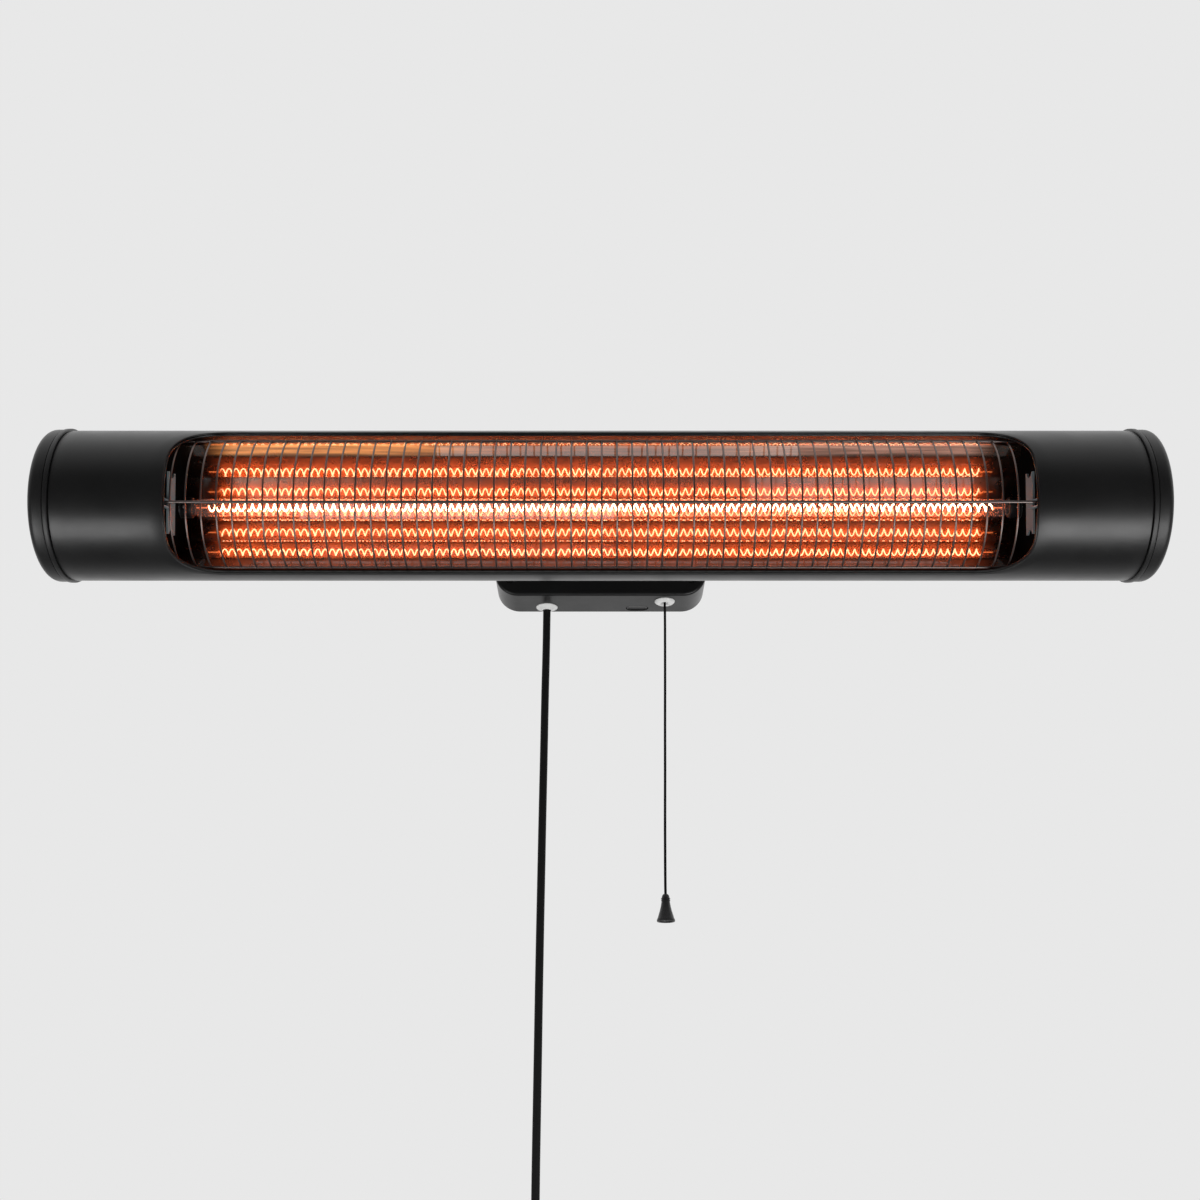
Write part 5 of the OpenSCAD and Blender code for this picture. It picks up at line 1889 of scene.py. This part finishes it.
@dataclass
class TubeHousing:
    """The powder-coated tube with its window, the dark lip, the caps and their screws.

    Attributes:
        half_window: half of the window's length.
        half_deg: half of the angle that it opens.
        corner: its corner radius on the unrolled tube.
        half_len: half of the visible tube.
        side_cols: faces along the tube on either side of the window's straight edge.
        mid_cols: faces along that edge.
    """

    half_window: float = 333.5
    half_deg: float = 69.0
    corner: float = 40.0
    half_len: float = 420.7
    side_cols: int = 8
    mid_cols: int = 24

    def make(self) -> Piece:
        """Makes the tube, the lip and the caps.

        Returns:
            The lip.
        """
        self._tube()
        lip = self._lip()
        for side, name in ((-1, "left"), (1, "right")):
            self._cap(side, name)
        marks = [(on_tube(side * 415, math.radians(a), TUBE_R), on_tube(0, math.radians(a), 1))
                 for side in (-1, 1) for a in (180, 118, -118)]
        place_copies("cap_screw_heads", screw_head(), marks, BLACK_STEEL,
                     Fate("head", ("end_cap_screws",)), Place.HEAD)
        return lip

    def _rows(self) -> list[tuple[float, Optional[float]]]:
        """Angles of the rows round the tube, each with half of the window's length there.

        Returns:
            Pairs of angle and half length, which is None where the wall is closed.
        """
        turn = math.degrees(self.corner / TUBE_R)
        straight = self.half_deg - turn
        flat = self.half_window - self.corner
        upper = [(straight + turn * math.sin(t), flat + self.corner * math.cos(t)) for t in quarter(14)[1:]]
        middle = [(straight * (k / 10 - 1), self.half_window) for k in range(0, 21)]
        count, closed = 84, 360 - 2 * self.half_deg
        plain = [(self.half_deg + closed * k / count, None) for k in range(1, count)]
        return [(-a, b) for a, b in reversed(upper)] + middle + upper + plain

    def _stations(self, deg: float, half: Optional[float]) -> list[Optional[float]]:
        """Places along the tube of one row's points, with None where the window is.

        Args:
            deg: the row's angle.
            half: half of the window's length there, or None where the wall is closed.

        Returns:
            The places from left to right.
        """
        edge = self.half_window - self.corner if half is None else half
        end, cols, more = self.half_len, self.side_cols, self.mid_cols
        left = [-end + (end - edge) * i / cols for i in range(cols + 1)]
        closed = half is None or abs(abs(deg) - self.half_deg) < 1e-6
        middle = [-edge + 2 * edge * i / more if closed else None for i in range(1, more)]
        return left + middle + [-x for x in reversed(left)]

    def _outer_wall(self, bm: bmesh.types.BMesh) -> None:
        """Makes the tube's outer face, the window left open.

        Args:
            bm: the bmesh to fill.
        """
        rows = self._rows()
        grid = [[None if x is None else bm.verts.new(on_tube(x, math.radians(deg), TUBE_R))
                 for x in self._stations(deg, half)] for deg, half in rows]
        gap = range(self.side_cols, self.side_cols + self.mid_cols)
        for i, low in enumerate(grid):
            after = (i + 1) % len(grid)
            window = rows[i][1] is not None and rows[after][1] is not None
            for j in range(len(low) - 1):
                quad = [low[j], low[j + 1], grid[after][j + 1], grid[after][j]]
                if None not in quad and not (window and j in gap):
                    bm.faces.new(quad)

    def _tube(self) -> None:
        """The tube's wall, both faces, with the window's edge rounded over."""
        bm = bmesh.new()
        self._outer_wall(bm)
        outer = list(bm.faces)
        rim = [e for e in bm.edges if len(e.link_faces) == 1]
        shrink = BORE_R / TUBE_R
        inside = {v: bm.verts.new((v.co.x, v.co.y * shrink, v.co.z * shrink)) for v in list(bm.verts)}
        for f in outer:
            bm.faces.new([inside[v] for v in reversed(f.verts)])
        for e in rim:
            a, b = e.verts
            bm.faces.new([a, b, inside[b], inside[a]])
        bmesh.ops.recalc_face_normals(bm, faces=bm.faces)
        bm.normal_update()
        cut_back(bm, 0.6, 3, 50)
        mesh = shaded_mesh("tube", bm, Place.HEAD, 50)
        settle(as_piece("tube_wall", mesh, TUBE_COAT), Fate("head", ("body_shell",)))

    def _lip(self) -> Piece:
        """The dark sheet lip inside the window's edge, rolled out along its lower side.

        Returns:
            The lip.
        """
        top, low = BORE_R - 0.1, BORE_R - 1.3
        hem_side, hem_top = TUBE_R - 0.5, TUBE_R - 0.15

        def ring(inset: float, r: float, more_deg: float = 0.0) -> list[Vector]:
            """The window's outline laid at a radius; what lies above the bore fades upwards.

            Args:
                inset: how far it is set in.
                r: the radius.
                more_deg: how much wider it is, in degrees.

            Returns:
                Its points.
            """
            outline = opening_outline(self.half_window - inset, self.half_deg - inset + more_deg,
                                      self.corner - inset)
            fade = [min(1.0, max(0.0, (20 - math.degrees(a)) / 50)) for _, a in outline]
            return [on_tube(x, a, min(r, top) + max(0.0, r - top) * k) for (x, a), k in zip(outline, fade)]

        rings = [ring(-4, top, 6), ring(0.15, top), ring(0.18, hem_side), ring(0.32, hem_top),
                 ring(0.72, hem_top), ring(0.95, hem_side), ring(1.0, low + 0.3), ring(0.8, low),
                 ring(-4, low, 6)]
        return build("window_lip", Shape().grid(rings, ring=True, loop=True), TRIM_COAT,
                     Fate("head", ("window_trim",)), Place.HEAD, sharp_deg=50)

    def _cap(self, side: int, name: str) -> None:
        """An end cap: spigot, proud lip, groove, barrel, rounded edge and dished face.

        Args:
            side: -1 for the left one, 1 for the right one.
            name: the start of its name.
        """
        barrel, lip, length, edge_r = TUBE_R + 0.8, TUBE_R + 1.6, 16.5, 6.0
        edge = [(barrel - edge_r + edge_r * math.sin(t), length - edge_r + edge_r * math.cos(t))
                for t in reversed(quarter(8))]
        face, back = length - 0.8, length - 2.6
        profile = [(55.8, -12.0), (58.1, -12.0), (58.4, -11.6), (58.4, 0.0), (lip - 0.5, 0.0),
                   (lip - 0.1, 0.15), (lip, 0.5), (lip, 3.0), (lip - 0.12, 3.35), (lip - 0.5, 3.5),
                   (barrel - 0.5, 3.55), (barrel - 0.62, 3.7), (barrel - 0.62, 4.15), (barrel - 0.4, 4.3),
                   (barrel - 0.06, 4.35), (barrel, 4.6), *edge, (51.6, length), (51.0, length - 0.15),
                   (50.5, length - 0.7), (49.8, face), (0, face), (0, back), (51.0, back),
                   (55.4, length - 6.0), (55.8, length - 8.0)]
        shape = Shape().lathe([(r, side * (HALF_TUBE + a)) for r, a in profile], (0, 0, 0), Axis.X, 144)
        build(f"{name}_cap", shape, CAP_PLASTIC, Fate("head", (f"{name}_end_cap",)), Place.HEAD,
              sharp_deg=45)


@dataclass
class WireGuard:
    """Bowed wires on three long rods, with weld dots where they cross.

    Attributes:
        count: number of bowed wires.
        pitch: distance between them.
        first: place of the first along the tube.
        bow: radius of the bow.
        wire_d: thickness of a bowed wire.
        rod_d: thickness of a rod.
        middle_deg: angle of the middle rod, up from the window's middle.
        half_deg: half of the angle between the outer rods.
        rod_half: half of the middle rod's length.
    """

    count: int = 56
    pitch: float = 11.8
    first: float = -329.5
    bow: float = 54.0
    wire_d: float = 1.5
    rod_d: float = 2.2
    middle_deg: float = -2.7
    half_deg: float = 66.5
    rod_half: float = 343.0

    def make(self) -> None:
        """Makes the wires, the rods and the weld dots."""
        self._wires()
        self._rods()
        dot = Shape().lathe([(0, -0.5), (0.95, -0.4), (1.25, 0.05), (0.95, 0.5), (0, 0.62)], (0, 0, 0),
                            Axis.Z, 8)
        sink = 0.9
        angles = [math.radians(self.middle_deg + deg) for deg in (-self.half_deg, 0, self.half_deg)]
        marks = [(on_tube(self.first + self.pitch * i, a, self.bow - sink), on_tube(0, a, 1))
                 for i in range(self.count) for a in angles]
        place_copies("guard_welds", dot, marks, GUARD_STEEL, Fate("head"), Place.HEAD)

    def _wires(self) -> None:
        """The bowed wires."""
        tip = self.half_deg + 3.5
        mesh = grown_mesh(bpy.data.meshes.new("none"), Growths.bowed_wires(), {
            "Count": self.count, "Pitch": self.pitch * MM, "First": self.first * MM,
            "Bow": self.bow * MM, "From": math.radians(self.middle_deg - tip),
            "Sweep": math.radians(2 * tip), "Wire": self.wire_d / 2 * MM, "Finish": GUARD_STEEL.material()})
        mesh.transform(Place.HEAD.matrix() @ Matrix.Scale(1 / MM, 4))
        mesh.set_sharp_from_angle(angle=math.radians(50))
        settle(as_piece("guard_wires", mesh, GUARD_STEEL), Fate("head", ("wire_guard",)))

    def _rods(self) -> None:
        """The three long rods, their ends a little chamfered."""
        last = self.first + self.pitch * (self.count - 1)
        outer = (self.first - 3, last + 7)
        chamfer = 0.3
        shape = Shape()
        for deg, (x0, x1) in ((0, (-self.rod_half, self.rod_half)), (self.half_deg, outer),
                              (-self.half_deg, outer)):
            at = on_tube(0, math.radians(self.middle_deg + deg), self.bow)
            r = self.rod_d / 2
            xs = [x0, x0 + 0.25] + [x0 + (x1 - x0) * k / 40 for k in range(1, 40)] + [x1 - 0.25, x1]
            shape.sweep([(x, at.y, at.z) for x in xs],
                        lambda i, n=len(xs), r=r: r - chamfer if i in (0, n - 1) else r, 14)
        build("guard_rods", shape, GUARD_STEEL, Fate("head"), Place.HEAD, sharp_deg=60)


@dataclass
class LampUnit:
    """Reflector, quartz lamp with its glowing coil, sockets, bulkheads and straps.

    Attributes:
        sheet: thickness of the reflector.
        half_len: half of the reflector's length.
        lamp_back: the lamp's axis behind the tube's.
        lamp_r: radius of the quartz tube.
        glass_end: end of the round part of the quartz tube.
        coil_half: half of the coil's length.
        coil_turns: number of its turns.
        coil_r: its radius.
        strand_r: radius of its strand.
    """

    sheet: float = 0.8
    half_len: float = 339.7
    lamp_back: float = 14.0
    lamp_r: float = 7.0
    glass_end: float = 330.0
    coil_half: float = 320.0
    coil_turns: int = 107
    coil_r: float = 2.8
    strand_r: float = 0.55

    def make(self, nodes: dict[str, Piece], lip: Piece) -> Piece:
        """Makes the lamp's pieces and dresses the nodes that stay.

        Args:
            nodes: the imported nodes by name.
            lip: the lip round the window, which lies in the reflector's shade.

        Returns:
            The reflector.
        """
        reflector = self._reflector()
        self._quartz()
        coil = self._coil()
        ends = [self._socket(side, name) for side, name in ((-1, "left"), (1, "right"))]
        ends += [self._rivets(), self._rod_clips()]
        dress_nodes(nodes, {
            "left_bulkhead": BULKHEAD_COAT, "right_bulkhead": BULKHEAD_COAT, "end_straps": STRAP_STEEL,
            "lamp_clips": ZINC_STEEL, "lamp_leads": WIRE_COVER, "ceramic_terminal": CERAMIC})
        ends += [nodes[name] for name in ("left_bulkhead", "right_bulkhead", "end_straps")] + [lip]
        aim_light(coil, ends, lit=False)
        return reflector

    def _reflector(self) -> Piece:
        """The folded trough; each fold has a small radius.

        Returns:
            The reflector.
        """
        upper = [(d, h) for h, d in FOLDS]
        front = self._soft_folds([(d, -h) for d, h in reversed(upper[:-1])] + upper, 1.2)
        back = []
        for i, p in enumerate(front):
            a, b = Vector(front[max(i - 1, 0)]), Vector(front[min(i + 1, len(front) - 1)])
            along = (b - a).normalized()
            back.append(tuple(Vector(p) + Vector((along.y, -along.x)) * self.sheet))
        outline = front + back[::-1]
        spans = 34
        rows = [[Vector((x, y, z)) for y, z in outline]
                for x in (self.half_len * (2 * k / spans - 1) for k in range(spans + 1))]
        return build("reflector_trough", Shape().grid(rows, ring=True, ends=True), REFLECTOR_SHEET,
                     Fate("head", ("reflector",)), Place.HEAD, sharp_deg=2)

    @staticmethod
    def _soft_folds(line: Outline, cut: float) -> list[tuple[float, float]]:
        """Draws each fold of a line as a short curve.

        Args:
            line: the line, folded sharply.
            cut: how far each fold is cut back.

        Returns:
            The softer line.
        """
        out = [line[0]]
        for before, at, after in zip(line, line[1:], line[2:]):
            p, q, r = Vector(before), Vector(at), Vector(after)
            a, b = q + (p - q).normalized() * cut, q + (r - q).normalized() * cut
            out += [bend(a, q, b, t) for t in (0, 0.33, 0.67, 1)]
        return out + [line[-1]]

    def _quartz(self) -> None:
        """The quartz tube: round, pressed flat at its ends, with a sealing tip at the back."""

        def section(x: float, half_y: float, half_z: float, square: float) -> list[Vector]:
            """A loop between a circle and a flat rounded bar.

            Args:
                x: its place along the tube.
                half_y: half of its depth, as share of the tube's radius.
                half_z: half of its height, as share of that radius.
                square: 0 for a circle, 1 for a bar.

            Returns:
                Its points.
            """
            power = 1 - 0.55 * square
            return [Vector((x, self.lamp_back + self.lamp_r * half_y * math.copysign(abs(c) ** power, c),
                            self.lamp_r * half_z * math.copysign(abs(s) ** power, s)))
                    for c, s in ((math.cos(t), math.sin(t)) for t in turns(40))]

        half = [(0, 1.0, 1.0, 0.0), (310, 1.0, 1.0, 0.0), (322, 1.0, 1.0, 0.0), (325, 0.93, 0.99, 0.1),
                (327, 0.72, 0.93, 0.3), (329, 0.40, 0.80, 0.6), (331, 0.20, 0.643, 1.0),
                (344, 0.20, 0.643, 1.0)]
        stations = [(-x, y, z, q) for x, y, z, q in reversed(half[1:])] + half
        shape = Shape().grid([section(*station) for station in stations], ring=True, ends=True)
        tip = [(0, 22.6), (0.5, 22.3), (0.9, 21.4), (1.3, 20.4), (0, 20.2)]
        shape.lathe(tip, (96, 0, 0), Axis.Y, 20)
        build("quartz_tube", shape, QUARTZ, Fate("head", ("lamp_tube",)), Place.HEAD, sharp_deg=60)

    def _coil(self) -> Piece:
        """The coil with its straight ends.

        Returns:
            The coil.
        """
        steps = 20
        total = self.coil_turns * steps
        inner, outer = self.coil_half + 1.4, self.glass_end - 2.1
        straight = [Vector((x, self.lamp_back, 0)) for x in (-outer, -inner, inner, outer)]
        path = straight[:2]
        for i in range(total + 1):
            t = 2 * math.pi * i / steps
            r = self.coil_r * min(1.0, min(i, total - i) / (steps / 2))
            path.append(Vector((-self.coil_half + 2 * self.coil_half * i / total,
                                self.lamp_back + r * math.cos(t), r * math.sin(t))))
        return build("glowing_coil", Shape().sweep(path + straight[2:], self.strand_r, 8), GLOW,
                     Fate("head", ("filament",)), Place.HEAD, sharp_deg=80)

    def _socket(self, side: int, name: str) -> Piece:
        """A dark steel socket with a chamfered mouth, a waist and a collar.

        Args:
            side: -1 for the left one, 1 for the right one.
            name: the start of its name.

        Returns:
            The socket.
        """
        x0 = self.glass_end + 0.3
        profile = [(5.2, 0.0), (7.7, 0.0), (8.3, 0.3), (8.5, 0.9), (8.5, 7.4), (8.1, 7.8), (8.1, 9.6),
                   (8.5, 10.0), (8.5, 20.8), (8.1, 21.7), (7.4, 22.0), (2.4, 22.0), (2.0, 21.6), (2.0, 15.0),
                   (5.0, 14.6), (5.0, 1.2)]
        shape = Shape().lathe([(r, side * (x0 + a)) for r, a in profile], (0, self.lamp_back, 0), Axis.X, 48)
        return build(f"{name}_socket", shape, BLACK_STEEL, Fate("head", (f"{name}_lamp_base",)), Place.HEAD,
                     sharp_deg=50)

    def _rivets(self) -> Piece:
        """Two bright rivets on each socket.

        Returns:
            The rivets.
        """
        rivet = Shape().lathe([(0, -0.3), (1.3, -0.3), (1.3, 0.1), (1.1, 0.45), (0.7, 0.65), (0, 0.75)],
                              (0, 0, 0), Axis.Z, 20)
        marks = [(Vector((side * x, self.lamp_back - 8.5, 0)), Vector((0, -1, 0)))
                 for side in (-1, 1) for x in (336.2, 341.2)]
        return place_copies("socket_rivets", rivet, marks, ZINC_STEEL, Fate("head"), Place.HEAD)

    def _rod_clips(self) -> Piece:
        """Small folded tabs on the straps that hold the middle rod's ends.

        Returns:
            The tabs.
        """
        shape, guard = Shape(), WireGuard()
        at = on_tube(0, math.radians(guard.middle_deg), guard.bow)
        front, back = at.y - 1.4, at.y + 26.2
        for x0, x1 in ((-338.3, -333.6), (333.6, 338.3)):
            for z in (at.z - 2.6, at.z + 2.6):
                low, high = z - 0.5, z + 0.5
                shape.prism([(front, low), (back, low), (back, high), (front, high)], x0, x1, Axis.X)
        return build("rod_clips", shape, STRAP_STEEL, Fate("head"), Place.HEAD, bevel=0.25)


def main() -> None:
    """Builds the heater's looks piece by piece."""
    logging.basicConfig(level=logging.INFO, format="%(name)s %(message)s")
    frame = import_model()
    bpy.context.scene.view_settings.view_transform = "Standard"
    studio = Studio()
    studio.place_camera()
    size = BoxMeasures.from_frame()
    box = WallBox(size)
    lead = MainsLead((*box.lead_at, size.underside - 1))
    lead.make(Plug(lead.plug_at).make() + [lead.make_tie()])
    PullCord((*box.cord_at, size.underside + 20)).make()
    studio.light()
    studio.lay_floor()
    nodes = frame["nodes"]
    box.make(nodes)
    TiltMount(size).make(nodes)
    lip = TubeHousing().make()
    WireGuard().make()
    studio.light_window(LampUnit().make(nodes, lip), lip)


if __name__ == "__main__":
    main()
